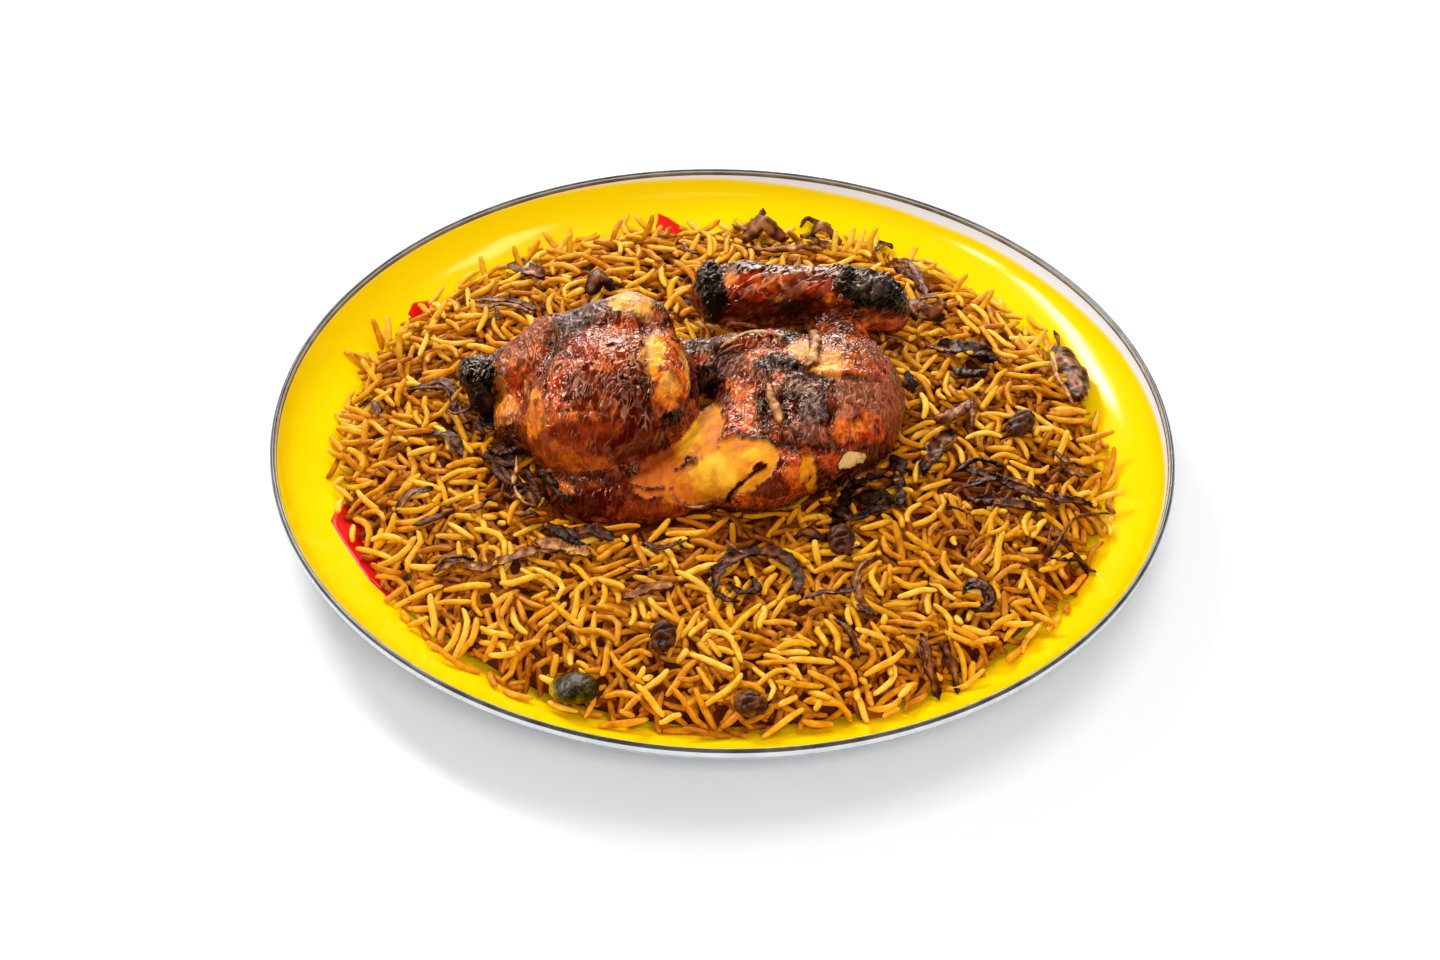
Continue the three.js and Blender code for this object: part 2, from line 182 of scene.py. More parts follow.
def join(shapes):
    """Several shapes, each of points, quads and a tone for each point, as one."""
    points, quads, tones = zip(*shapes)
    starts = np.cumsum([0, *map(len, points)])
    numbered = [block + start for block, start in zip(quads, starts)]
    return np.concatenate(points), np.concatenate(numbered), np.concatenate(tones)


# Materials

class Look:
    """A material with a Principled shader, and short ways to add nodes to it."""

    def __init__(self, name, sockets):
        self.material = bpy.data.materials.new(name)
        self.material.use_nodes = True
        self.tree = self.material.node_tree
        self.tree.nodes.clear()
        self.shader = self.add("ShaderNodeBsdfPrincipled", sockets)
        output = self.add("ShaderNodeOutputMaterial")
        self.tree.links.new(self.shader.outputs["BSDF"], output.inputs["Surface"])

    def add(self, kind, sockets={}, **settings):
        node = self.tree.nodes.new(kind)
        for label, value in settings.items():
            setattr(node, label, value)
        self.set(node, sockets)
        return node

    def set(self, node, sockets):
        for label, value in sockets.items():
            socket = node.inputs[label]
            if isinstance(value, bpy.types.NodeSocket):
                self.tree.links.new(value, socket)
            else:
                socket.default_value = value

    def finish(self, **sockets):
        """Sets the shader's sockets, named with _ for each space, and gives back the material."""
        self.set(self.shader, {label.replace("_", " "): value for label, value in sockets.items()})
        return self.material

    def place(self):
        return self.add("ShaderNodeTexCoord").outputs["Object"]

    def noise(self, scale, detail=2.0, rough=0.5, distort=0.0, place=None):
        """Noise by place: scale is lumps per metre."""
        if place is None:
            place = self.place()
        values = {"Vector": place, "Scale": scale, "Detail": detail, "Roughness": rough}
        return self.add("ShaderNodeTexNoise", {**values, "Distortion": distort}).outputs["Fac"]

    def streaks(self, direction, stretch, scale, detail=2.0, rough=0.5, distort=0.0):
        """Noise drawn out along one direction."""
        turn = Vector(direction).to_track_quat("Z", "Y").to_euler()
        values = {"Vector": self.place(), "Rotation": turn, "Scale": (1, 1, stretch)}
        turned = self.add("ShaderNodeMapping", values, vector_type="TEXTURE").outputs["Vector"]
        return self.noise(scale, detail, rough, distort, turned)

    def crests(self, value, sharpness):
        """1 where a noise value is in the middle of its range, falling to 0 on both sides."""
        off = self.times(self.minus(value, 0.5), sharpness)
        return self.math("SUBTRACT", 1.0, self.times(off, off), clamp=True)

    def stored(self, name, output="Fac"):
        return self.add("ShaderNodeAttribute", attribute_name=name).outputs[output]

    def ramp(self, value, stops):
        node = self.add("ShaderNodeValToRGB", {"Fac": value})
        for i, (place, colour) in enumerate(stops):
            stop = node.color_ramp.elements[i] if i < 2 else node.color_ramp.elements.new(place)
            stop.position = place
            stop.color = (*colour, 1) if len(np.shape(colour)) else (colour, colour, colour, 1)
        return node.outputs["Color"]

    def math(self, operation, a, b=0.0, clamp=False):
        return self.add("ShaderNodeMath", {0: a, 1: b}, operation=operation, use_clamp=clamp).outputs[0]

    def times(self, a, b, clamp=False):
        return self.math("MULTIPLY", a, b, clamp)

    def plus(self, a, b):
        return self.math("ADD", a, b)

    def minus(self, a, b):
        return self.math("SUBTRACT", a, b)

    def mix(self, share, a, b, blend="MIX"):
        node = self.add("ShaderNodeMix", data_type="RGBA", blend_type=blend)
        self.set(node, {0: share, 6: a, 7: b})
        return node.outputs[2]

    def bump(self, height, distance, strength=1.0, below=None):
        values = {"Height": height, "Distance": distance, "Strength": strength}
        if below is not None:
            values["Normal"] = below
        return self.add("ShaderNodeBump", values).outputs["Normal"]


def paint(red, green, blue):
    """A colour given as it looks on screen, from 0 to 255, in linear light."""
    shown = np.array([red, green, blue]) / 255
    return np.where(shown <= 0.04045, shown / 12.92, ((shown + 0.055) / 1.055) ** 2.4)


def toned_look(name, stops, gloss, speckle, crumple):
    """A look whose colour runs through the stops by the stored tone.

    The speckle is a noise and how much it changes the tone. The crumple is a noise, its height in
    metres and its strength as a bump.
    """
    look = Look(name, gloss)
    *grain, amount = speckle
    *lumps, height, strength = crumple
    tone = look.plus(look.stored("tone"), look.times(look.minus(look.noise(*grain), 0.5), amount))
    tint = look.ramp(tone, [(place, paint(*colour)) for place, colour in stops])
    return look.finish(Base_Color=tint, Normal=look.bump(look.noise(*lumps), height, strength))


# The plate

def wall_height(radius):
    """The height of the plate's inside: a dish that turns up to its lip."""
    t = np.clip((radius - FLOOR_RADIUS) / (WALL_RADIUS - FLOOR_RADIUS), 0, 1)
    return SHEET + WALL_DEPTH * (DISH_SHARE * t ** 2 + (1 - DISH_SHARE) * t ** LIP_POWER)


def enamel_look():
    look = Look("yellow_enamel",
                {"Roughness": 0.13, "Specular IOR Level": 0.5, "Specular Tint": (1, 0.94, 0.5, 1)})
    tint = look.ramp(look.noise(30, 3), [(0.3, paint(252, 209, 0)), (0.7, paint(255, 215, 0))])
    # Painted light: the steep wall is painted a paler yellow to offset the shade that it gets.
    tint = look.mix(look.stored("steep"), tint, (*paint(255, 219, 0), 1))
    # Painted reflection: the lip is mixed towards a pale white where the lights would mirror in it.
    tint = look.mix(look.stored("lip"), tint, (*paint(238, 241, 246), 1))
    return look.finish(Base_Color=tint, Normal=look.bump(look.noise(25, 1), 0.0006, 0.5))


def print_look():
    look = Look("red_print", {"Roughness": 0.2, "Specular IOR Level": 0.25})
    tint = look.ramp(look.noise(60, 3), [(0.3, paint(206, 8, 6)), (0.7, paint(228, 20, 14))])
    return look.finish(Base_Color=tint)


def steel_look(name, metallic, dull, bright):
    look = Look(name, {"Metallic": metallic})
    tint = look.ramp(look.noise(90, 4), [(0.35, paint(*dull)), (0.65, paint(*bright))])
    return look.finish(Base_Color=tint, Roughness=look.ramp(look.noise(60, 2), [(0.3, 0.24), (0.7, 0.29)]))


def plate_profile():
    """The closed outline as rows of radius and height, how many of its points are enamelled, and the
    angles in degrees of the points round the rolled edge."""
    HUB_RADIUS = 14
    LIP_REACH = 6.6
    HUB_STEPS, WALL_STEPS, LIP_STEPS = 6, 26, 16
    # How near the roll the wall ends, in radii of the roll.
    NEAR = 1.04
    radii = np.concatenate([
        np.linspace(HUB_RADIUS, FLOOR_RADIUS, HUB_STEPS),
        np.linspace(FLOOR_RADIUS, WALL_RADIUS - LIP_REACH, WALL_STEPS)[1:],
        WALL_RADIUS - LIP_REACH * np.linspace(1, 0, LIP_STEPS)[1:] ** 1.4,
    ])
    inner = np.stack([radii, wall_height(radii)], 1)
    slope = np.gradient(inner[:, 1], inner[:, 0])
    outer = inner + SHEET * np.stack([slope, -np.ones_like(slope)], 1) / np.hypot(slope, 1)[:, None]
    outer[:, 1] = np.maximum(outer[:, 1], 0)
    half = np.array([BEAD_HALF_WIDTH, BEAD_HALF_HEIGHT])
    middle = np.array([PLATE_RADIUS, PLATE_HEIGHT]) - half

    def up_to_roll(line):
        """A line cut off where it meets the roll, and the angle round the roll there."""
        off = (line - middle) / half
        count = np.argmax(np.append(np.hypot(*off.T) < NEAR, True))
        return line[:count], math.atan2(*off[count - 1, ::-1])

    inner, start = up_to_roll(inner)
    outer, end = up_to_roll(outer)
    turn = np.linspace(start % (2 * math.pi), end, BEAD_STEPS)
    bead = middle + half * np.stack([np.cos(turn), np.sin(turn)], 1)
    return np.vstack([inner, bead, outer[::-1]]), len(inner), np.degrees(turn)


# The numbers of the plate's materials.
ENAMEL, BRIGHT_STEEL, PAINTED_DARK, CREASE_SHADE = range(4)


def band_looks(bands, enamelled, turn):
    """The material of each band of the plate, from its floor over the roll to its base.

    The rolled edge is painted dark along its top, as a painted reflection, and underneath, as painted
    shade. It is bright between, and painted brown against the enamel, as shade in the crease. The
    limits are angles round the roll, in degrees up from straight outwards.
    """
    DARK_FROM, DARK_TO = 30, 125
    DARK_UNDER = -38
    CREASE_FROM = 146
    CREASE_SHADED = 3
    looks = np.full(bands, BRIGHT_STEEL, np.int32)
    looks[:enamelled - 1] = ENAMEL
    bent = (turn[:-1] + turn[1:]) / 2
    bead = looks[enamelled:enamelled + len(bent)]
    bead[(bent > DARK_FROM) & (bent < DARK_TO) | (bent < DARK_UNDER)] = PAINTED_DARK
    bead[bent > CREASE_FROM] = CREASE_SHADE
    looks[enamelled - CREASE_SHADED:enamelled] = CREASE_SHADE
    return looks


def painted_lip_reflection(points, radius, lip_edge):
    """1 where a pale painted reflection lies on the enamel of the lip, most of all on one side."""
    REFLECTION_SIDE = math.radians(42)
    LEAST, MOST = 0.1, 2.1
    UNEVEN = 0.5
    bearing = np.arctan2(points[:, 1], points[:, 0])
    near_reflection = np.clip(np.cos(bearing - REFLECTION_SIDE), 0, 1) ** 2
    width = lerp(LEAST, MOST, near_reflection) + UNEVEN * near_reflection * noise(points, 30, 3.0)
    return smooth(-0.5, 0.3, width - (lip_edge - radius))


def build_plate():
    SIDES = 360
    # The slopes between which the wall turns from gently to steeply rising. The steep wall is painted a
    # paler yellow, as painted light against its shade.
    STEEP_FROM, STEEP_TO = 0.3, 1.2
    profile, enamelled, turn = plate_profile()
    angle = 2 * np.pi * np.arange(SIDES) / SIDES
    rings = len(profile)
    points = np.zeros((rings, SIDES, 3))
    points[:, :, :2] = profile[:, 0, None, None] * np.stack([np.cos(angle), np.sin(angle)], 1)
    points[:, :, 2] = profile[:, 1, None]
    points = points.reshape(-1, 3)
    radius = np.hypot(points[:, 0], points[:, 1])
    free = smooth(FLOOR_RADIUS, FLOOR_RADIUS + 30, radius) * smooth(WALL_RADIUS, WALL_RADIUS - 9, radius)
    points[:, 2] += WALL_RIPPLE * free * noise(points * [1, 1, 0], RIPPLE_SIZE)
    # The pale band on the lip is a painted reflection.
    white = painted_lip_reflection(points, radius, profile[enamelled - 1, 0])
    steep = smooth(STEEP_FROM, STEEP_TO, wall_height(radius + 0.5) - wall_height(radius - 0.5))
    number = np.arange(rings * SIDES).reshape(rings, SIDES)
    top, base = rings * SIDES, rings * SIDES + 1
    faces = [band(number[:-1], number[1:]), fan(top, number[0]), fan(base, number[-1][::-1])]
    points = np.vstack([points, [0, 0, SHEET], [0, 0, 0]])
    values = {"lip": np.append(white, [0, 0]), "steep": np.append(steep, [0, 0])}
    plate = make_mesh("plate_enamelware", points, faces, enamel_look(), values)
    plate.data.materials.append(steel_look("rolled_steel", 0.3, (203, 206, 209), (217, 220, 223)))
    # Painted dark bands on the roll: a painted reflection along its top and painted shade underneath. Below
    # is painted brown shade in the crease by the enamel.
    plate.data.materials.append(steel_look("rim_painted_dark", 0.2, (66, 63, 58), (100, 96, 90)))
    plate.data.materials.append(steel_look("rim_crease_shade", 0.1, (98, 80, 44), (134, 114, 74)))
    bands = np.repeat([*range(rings - 1), 0, rings], SIDES)
    plate.data.polygons.foreach_set("material_index", band_looks(rings + 1, enamelled, turn)[bands])
    dress(plate, "yellow_enamel", "plate")


# Fields of red printed on the enamel, which run on under the rice: corners across and up.
PRINTS = [
    [(-151, -16), (-147, -23), (-141, -32), (-136, -39), (-129, -45.5), (-118, -40), (-128, -24), (-139, -8),
     (-148.5, -11)],
    [(-121, 64), (-119, 68.5), (-112, 69.5), (-108, 64), (-116, 60)],
    [(-25, 97.5), (-24, 103), (-20, 101.5), (-14, 97.5), (-17, 93)],
    [(143.5, -37), (138, -44), (130, -44), (134, -34)],
]


def build_prints():
    """Each field is a fan of rings that shrink to its middle, laid on the wall of the plate."""
    RINGS = 7
    INNERMOST = 0.02
    STEPS = 6
    ABOVE, BELOW = 0.14, -0.2
    shapes = []
    for corners in PRINTS:
        corners = seen_at(lambda x, y: wall_height(np.hypot(x, y)), corners)[:, :2]
        outline = np.concatenate([lerp(a, b, np.linspace(0, 1, STEPS, endpoint=False)[:, None])
                                  for a, b in zip(corners, np.roll(corners, -1, 0))])
        middle = outline.mean(0)
        share = np.linspace(1, INNERMOST, RINGS)[:, None, None]
        flat = (middle + (outline - middle) * share).reshape(-1, 2)
        ripple = WALL_RIPPLE * noise(np.column_stack([flat, np.zeros(len(flat))]), RIPPLE_SIZE)
        wall = wall_height(np.hypot(*flat.T)) + ripple
        points = np.concatenate([np.column_stack([flat, wall + rise]) for rise in (ABOVE, BELOW)])
        upper, lower = np.arange(len(points)).reshape(2, RINGS, len(outline))
        quads = np.vstack([band(upper[:-1], upper[1:]), band(lower[1:], lower[:-1]),
                           band(lower[0], upper[0]), band(upper[-1], lower[-1])])
        shapes.append((points, quads, np.zeros(len(points))))
    points, quads, _ = join(shapes)
    dress(make_mesh("plate_print", points, [quads], print_look()), "yellow_enamel")


# The heap of rice

def heap_edge(angle):
    """The heap's edge eases from each given radius to the next."""
    edge = np.array(HEAP_EDGE)
    place = ((angle / (2 * np.pi) + 1) % 1) * len(edge)
    i = np.floor(place).astype(int) % len(edge)
    ease = (1 - np.cos(np.pi * (place % 1))) / 2
    return lerp(edge[i], edge[(i + 1) % len(edge)], ease)


def heap_top(x, y):
    """The heap's bare top: a steep shoulder at the edge, then a low dome."""
    edge = heap_edge(np.arctan2(y, x))
    inward = np.maximum(edge - np.hypot(x, y), 0)
    shoulder = SHOULDER_RISE * (1 - np.exp(-inward / SHOULDER_REACH))
    dome = DOME_RISE * (1 - np.exp(-inward / DOME_REACH))
    return wall_height(edge) + HEAP_LIFT + shoulder + dome


# The chicken's form: distances to rounded forms that run into each other

def egg(centre, radii, yaw=0, roll=0):
    """An oval body, turned by yaw round the upright and by roll round its own length, in degrees."""
    y, r = np.radians([yaw, roll])
    level = np.array([[np.cos(y), -np.sin(y), 0], [np.sin(y), np.cos(y), 0], [0, 0, 1]])
    rolled = np.array([[1, 0, 0], [0, np.cos(r), -np.sin(r)], [0, np.sin(r), np.cos(r)]])
    turn = level @ rolled
    radii = np.array(radii, float)

    def distance(points):
        local = (points - centre) @ turn
        near = np.linalg.norm(local / radii, axis=1)
        slope = np.linalg.norm(local / radii ** 2, axis=1)
        return near * (near - 1) / np.maximum(slope, 1e-6)
    return distance


def limb(start, end, start_radius, end_radius):
    """A round bar whose radius runs from one end to the other."""
    start = np.array(start, float)
    along = np.array(end, float) - start

    def distance(points):
        t = np.clip((points - start) @ along / (along @ along), 0, 1)
        apart = np.linalg.norm(points - start - t[:, None] * along, axis=1)
        return apart - lerp(start_radius, end_radius, t)
    return distance


def blend(length, first, *others):
    """Forms run into the first one, each over the given length."""
    def distance(points):
        total = first(points)
        for form in others:
            other = form(points)
            share = np.maximum(length - np.abs(total - other), 0) / length
            total = np.minimum(total, other) - share ** 2 * length / 4
        return total
    return distance


def leg_form():
    ankle = blend(
        3,
        egg([-97.5, 18, 46.5], [6.5, 7.5, 6.2]),
        egg([-93, 13, 40], [6.5, 6.5, 7.5]),
        limb([-95, 16, 44], [-82, 17, 46], 5.5, 9.5),
    )
    cuff = limb([-85, 18, 46.5], [-66, 21, 52], 10, 14)
    drumstick = limb([-64, 24, 54], [-38, 30, 57], 13, 17.5)
    thigh = egg([-47.5, -4, 49], [31, 33, 24], -15, 18)
    thigh_edge = egg([-26, 8, 49], [15, 30, 22], 12)
    haunch = egg([-72, 2, 38], [17, 16, 11])
    shin = blend(9, blend(5, ankle, cuff), drumstick)
    return blend(5, blend(4, shin, blend(6, thigh, thigh_edge)), haunch)


def breast_form():
    breast = egg([33, 2, 44], [35, 37, 23], -8)
    shoulder = egg([48, 14, 44], [19, 25, 20])
    fillet = egg([12, -20, 42], [30, 31, 17], 35, -10)
    belly = egg([-34, -30, 34], [33, 21, 12.5], 5)
    saddle = limb([-12, 26, 42], [20, 28, 46], 14, 14)
    return blend(8, blend(6, blend(10, breast, shoulder), fillet), belly, saddle)


def wing_form():
    flat = blend(10, egg([12, 67, 50], [25, 12, 13], 2), egg([46, 67, 50], [24, 12, 12.5], -3))
    elbow = limb([-3, 67, 51], [5, 67, 51], 10, 12)
    tip = limb([50, 67, 49], [64, 65, 46], 10, 8.5)
    upper_bone = limb([44, 56, 43], [50, 28, 42], 9, 13)
    return blend(4, blend(5, flat, elbow, tip), upper_bone)


LEG, BREAST, WING = leg_form(), breast_form(), wing_form()
chicken_form = blend(4, blend(2.5, BREAST, LEG), WING)
CHICKEN_LOW = np.array([-107.0, -55.0, 18.0])
CHICKEN_HIGH = np.array([77.0, 83.0, 78.0])
CHICKEN_STEP = 0.8


def slope_of(form, points):
    """The way in which a form's distance grows fastest."""
    REACH = 0.3
    slope = np.zeros_like(points)
    for axis in range(3):
        ahead = np.zeros(3)
        ahead[axis] = REACH
        slope[:, axis] = (form(points + ahead) - form(points - ahead)) / (2 * REACH)
    return slope


class Grid:
    """A form's distances at the nodes of a grid, exact near its surface, and the surface itself."""

    def __init__(self, form, low, high, step):
        COARSE = 4
        NEAR = 5
        self.form, self.low, self.step = form, low, step
        axes = [np.arange(low[i], high[i] + step, step) for i in range(3)]
        self.counts = [len(axis) for axis in axes]
        self.places = np.stack(np.meshgrid(*axes, indexing="ij"), -1)
        coarse = self.places[::COARSE, ::COARSE, ::COARSE]
        rough = form(coarse.reshape(-1, 3)).reshape(coarse.shape[:3])
        nearest = [np.minimum((np.arange(n) + COARSE // 2) // COARSE, rough.shape[i] - 1)
                   for i, n in enumerate(self.counts)]
        self.values = rough[np.ix_(*nearest)]
        close = np.abs(self.values) < NEAR
        self.values[close] = form(self.places[close])

    def near(self, points):
        """The distance at the grid node nearest each point, and a large one outside the grid."""
        FAR = 50.0
        index = np.rint((points - self.low) / self.step).astype(int)
        inside = np.all((index >= 0) & (index < self.counts), axis=-1)
        i, j, k = np.moveaxis(np.clip(index, 0, np.array(self.counts) - 1), -1, 0)
        return np.where(inside, self.values[i, j, k], FAR)

    def surface(self):
        """One point in each cell that the surface passes through, and a quad round each crossed edge."""
        cells = [count - 1 for count in self.counts]
        total = np.zeros((*cells, 3))
        found = np.zeros(cells)
        crossed_edges = []
        for axis in range(3):
            here, there = [slice(None)] * 3, [slice(None)] * 3
            here[axis], there[axis] = slice(0, -1), slice(1, None)
            a, b = self.values[tuple(here)], self.values[tuple(there)]
            crossed = (a < 0) != (b < 0)
            share = np.where(crossed, a / np.where(crossed, a - b, 1), 0)
            crossing = self.places[tuple(here)].copy()
            crossing[..., axis] += share * self.step
            others = [i for i in range(3) if i != axis]
            for shift in np.ndindex(2, 2):
                cell, edge = [slice(None)] * 3, [slice(None)] * 3
                for back, other in zip(shift, others):
                    edge[other] = slice(back, self.counts[other] - 1 + back)
                    cell[other] = slice(0, self.counts[other] - 1)
                hit = crossed[tuple(edge)]
                total[tuple(cell)] += np.where(hit[..., None], crossing[tuple(edge)], 0)
                found[tuple(cell)] += hit
            crossed_edges.append((others, crossed, a < 0))
        used = found > 0
        number = np.full(cells, -1)
        number[used] = np.arange(used.sum())
        points = total[used] / found[used][:, None]
        quads = []
        for axis, (others, crossed, inside) in enumerate(crossed_edges):
            edges = np.argwhere(crossed)
            corners = []
            for shift in ((1, 1), (0, 1), (0, 0), (1, 0)):
                cell = edges.copy()
                cell[:, others] -= shift
                corners.append(number[cell[:, 0], cell[:, 1], cell[:, 2]])
            quad = np.stack(corners, 1)
            turned = inside[edges[:, 0], edges[:, 1], edges[:, 2]] == (axis == 1)
            quad[turned] = quad[turned][:, ::-1]
            quads.append(quad)
        return self.onto(self.onto(points)), np.concatenate(quads)

    def onto(self, points):
        """Points moved a step nearer to the form's surface."""
        LEAST_SLOPE = 0.05
        slope = slope_of(self.form, points)
        share = self.form(points) / np.maximum((slope ** 2).sum(1), LEAST_SLOPE)
        return points - share[:, None] * slope


def normals_of(points, quads):
    """The outward direction at each point of a surface of quads."""
    face = np.cross(points[quads[:, 2]] - points[quads[:, 0]], points[quads[:, 3]] - points[quads[:, 1]])
    total = np.zeros_like(points)
    for corner in range(4):
        for axis in range(3):
            total[:, axis] += np.bincount(quads[:, corner], face[:, axis], len(points))
    return unit(total)


def laid_out(points):
    """Where points show from the eye, in millimetres across and up."""
    local = (points - EYE_PLACE) @ EYE_AXES
    return local[:, :2] * EYE_DISTANCE / -local[:, 2:]


def sight_lines(places):
    """The directions from the eye to places given in millimetres across and up."""
    ways = np.hstack([np.asarray(places, float) / EYE_DISTANCE, np.full((len(places), 1), -1.0)])
    return unit(ways @ EYE_AXES.T)


def seen_on(form, places):
    """The points of a form that show at the given places, found by steps along the lines of sight."""
    START = EYE_DISTANCE - 130.0
    STEPS = 60
    STRIDE = 0.9
    ways = sight_lines(places)
    reach = np.full(len(ways), START)
    for _ in range(STEPS):
        reach += STRIDE * form(EYE_PLACE + ways * reach[:, None])
    return EYE_PLACE + ways * reach[:, None]


def seen_at(height_of, places):
    """The points of a surface, given as heights over x and y, that show at the given places."""
    SEARCHED = 260
    ways = sight_lines(places)
    reach = EYE_DISTANCE + np.arange(-SEARCHED, SEARCHED, 0.5)
    points = EYE_PLACE + ways[:, None] * reach[:, None]
    under = points[..., 2] < height_of(points[..., 0], points[..., 1])
    return points[np.arange(len(ways)), under.argmax(1)]


def wander(points, size, amount, shift):
    """Points moved about by noise."""
    moves = [noise(points, size, shift + axis * 7.3) for axis in range(3)]
    return points + 2 * amount * np.stack(moves, 1)


def strayed(place, points, amount, size, shifts):
    """Places across and up, moved about by noise at their points."""
    return place + amount * np.stack([noise(points, size, shift) for shift in shifts], 1)


def ridges(points, direction, length, width, shift=0.0):
    """Folds that run one way: 1 along their crests and 0 between them."""
    SHARPNESS = 3.2
    direction = np.array(direction, float) / np.linalg.norm(direction)
    along = points @ direction
    squeezed = points + direction * (along * (width / length - 1))[:, None]
    return np.exp(-(SHARPNESS * noise(squeezed, width, shift)) ** 2)


# Finishes of the chicken: a colour, how dull it is, how wrinkled, how bare of skin and how spotted.
FINISHES = {
    "glaze": ((158, 48, 3), 0.14, 1.0, 0, 1),
    "dark": ((66, 6, 0), 0.14, 0.9, 0, 0.6),
    "burgundy": ((72, 4, 0), 0.15, 0.35, 0, 0.3),
    "brown": ((124, 35, 0), 0.16, 0.25, 0, 0.4),
    "orange": ((220, 98, 0), 0.26, 0.6, 0, 0.8),
    "red": ((180, 46, 2), 0.14, 0.8, 0, 1),
    "amber": ((238, 138, 2), 0.42, 0.4, 0, 0.4),
    "yellow": ((250, 180, 12), 0.45, 0.3, 0, 0.2),
    "pale": ((230, 158, 52), 0.42, 0.3, 0, 0.3),
    # The pink and plum finishes are partly the skin's own colour and partly painted sheen, the greyish haze
    # of soft light on the skin.
    "pink": ((158, 74, 42), 0.3, 0.9, 0, 0.4),
    "plum": ((72, 35, 34), 0.3, 0.9, 0, 0.3),
    "ash": ((78, 58, 58), 0.34, 1.3, 0, 0),
    "char": ((14, 9, 7), 0.26, 1.5, 0, 0),
    "black": ((8, 3, 2), 0.22, 0.8, 0, 0),
    "flesh": ((219, 131, 4), 0.75, 0, 1, 0),
    "cream": ((240, 166, 28), 0.75, 0, 1, 0),
    "tawny": ((200, 94, 2), 0.5, 0.2, 1, 0),
}

# Marks on the skin, laid from the first to the last: across, up, half width, half height, turn in
# degrees, finish, and how strong it is.
LEG_MARKS = [
    (-79, 40, 11, 13, 10, "orange", 1),
    (-79, 38, 6, 6, 10, "red", 0.8),
    (-70, 44, 5, 9, -10, "dark", 0.9),
    (-77, 54, 12, 5, 25, "pink", 0.9),
    (-76, 48, 6, 3.4, 10, "pink", 0.8),
    (-86, 36, 3, 9, 15, "amber", 0.8),
    (-84, 43, 2.4, 4, 0, "plum", 0.8),
    (-95, 41, 8, 8, 0, "black", 1),
    # Char under the ankle, and painted shadow in the gap below it.
    (-94, 30, 7, 12, 0, "black", 1),
    (-88, 50, 4, 3, 0, "plum", 0.8),
    (-84, 26, 6, 6, -20, "amber", 0.75),
    (-82, 24, 3, 3, 0, "brown", 0.6),
    # Painted shadow on the flesh under the cuff.
    (-81, 17, 6, 6, -30, "dark", 1),
    (-46, 30, 32, 40, 0, "glaze", 1),
    (-38, 69, 13, 5, -4, "pale", 1),
    (-30, 65, 7, 4, -35, "pale", 0.8),
    (-36, 62, 10, 4, -10, "plum", 0.6),
    (-45, 63, 7, 5, 15, "dark", 0.9),
    (-36, 60, 6, 3, 0, "red", 0.7),
    (-57, 61, 13, 5, 28, "ash", 1),
    (-51, 67, 9, 4, 24, "plum", 0.9),
    (-62, 58, 3, 3, 0, "char", 0.7),
    (-66, 56, 5, 6, 20, "pink", 0.6),
    (-62, 52, 6, 5, 0, "dark", 0.8),
    (-54, 55, 5, 3, 20, "ash", 0.6),
    (-46, 53, 13, 5, 0, "red", 0.6),
    (-20, 44, 9, 15, 5, "orange", 1),
    (-26, 50, 5, 7, 0, "yellow", 1),
    (-27, 43, 3, 6, 0, "amber", 0.8),
    (-20, 35, 5, 6, 10, "amber", 0.7),
    (-17, 46, 4, 5, 0, "red", 0.6),
    (-20, 37, 3, 4, 20, "pale", 0.6),
    (-25, 60, 4, 5, -20, "pink", 0.6),
    (-22, 56, 4, 3, 0, "orange", 0.7),
    (-13, 44, 1.6, 9, 4, "pale", 0.8),
    # The dark rim down the thigh's right side: partly its own colour, partly painted shade in the crease.
    (-8, 42, 4.4, 16, 8, "dark", 1),
    (-20, 67, 9, 4, -42, "plum", 0.9),
    (-12, 57, 3.4, 8, 30, "plum", 0.8),
    (-21, 61, 2.6, 2, 0, "black", 0.9),
    (-19, 54, 2, 0.9, -10, "black", 0.9),
    (-72, 27, 4.4, 13, 8, "amber", 1),
    (-65, 44, 5, 5, 30, "pink", 0.6),
    (-66, 37, 4.4, 3.4, 0, "red", 1),
    (-65, 29, 6, 4, 0, "red", 0.6),
    (-46, 34, 16, 8, 0, "dark", 0.6),
    (-56, 36, 6, 4, 0, "ash", 0.25),
    (-44, 38, 5, 4, 0, "plum", 0.25),
    (-33, 34, 7, 14, 0, "dark", 0.85),
    (-28, 25, 3.4, 5, 0, "plum", 0.6),
    (-56, 24, 8, 2.6, -10, "orange", 0.8),
    (-70, 24, 6, 8, 0, "orange", 0.6),
    (-53, 12, 21, 12, 0, "brown", 1),
    (-62, 8, 9, 6, -30, "orange", 0.4),
    (-46, 5, 12, 4, 8, "orange", 0.35),
    (-46, 14, 6, 4, 0, "dark", 0.35),
    (-31, 13, 12, 10, 20, "burgundy", 1),
    (-19, 24, 5.4, 4, 35, "char", 0.9),
    (-22, 30, 5, 4, 0, "orange", 0.6),
]
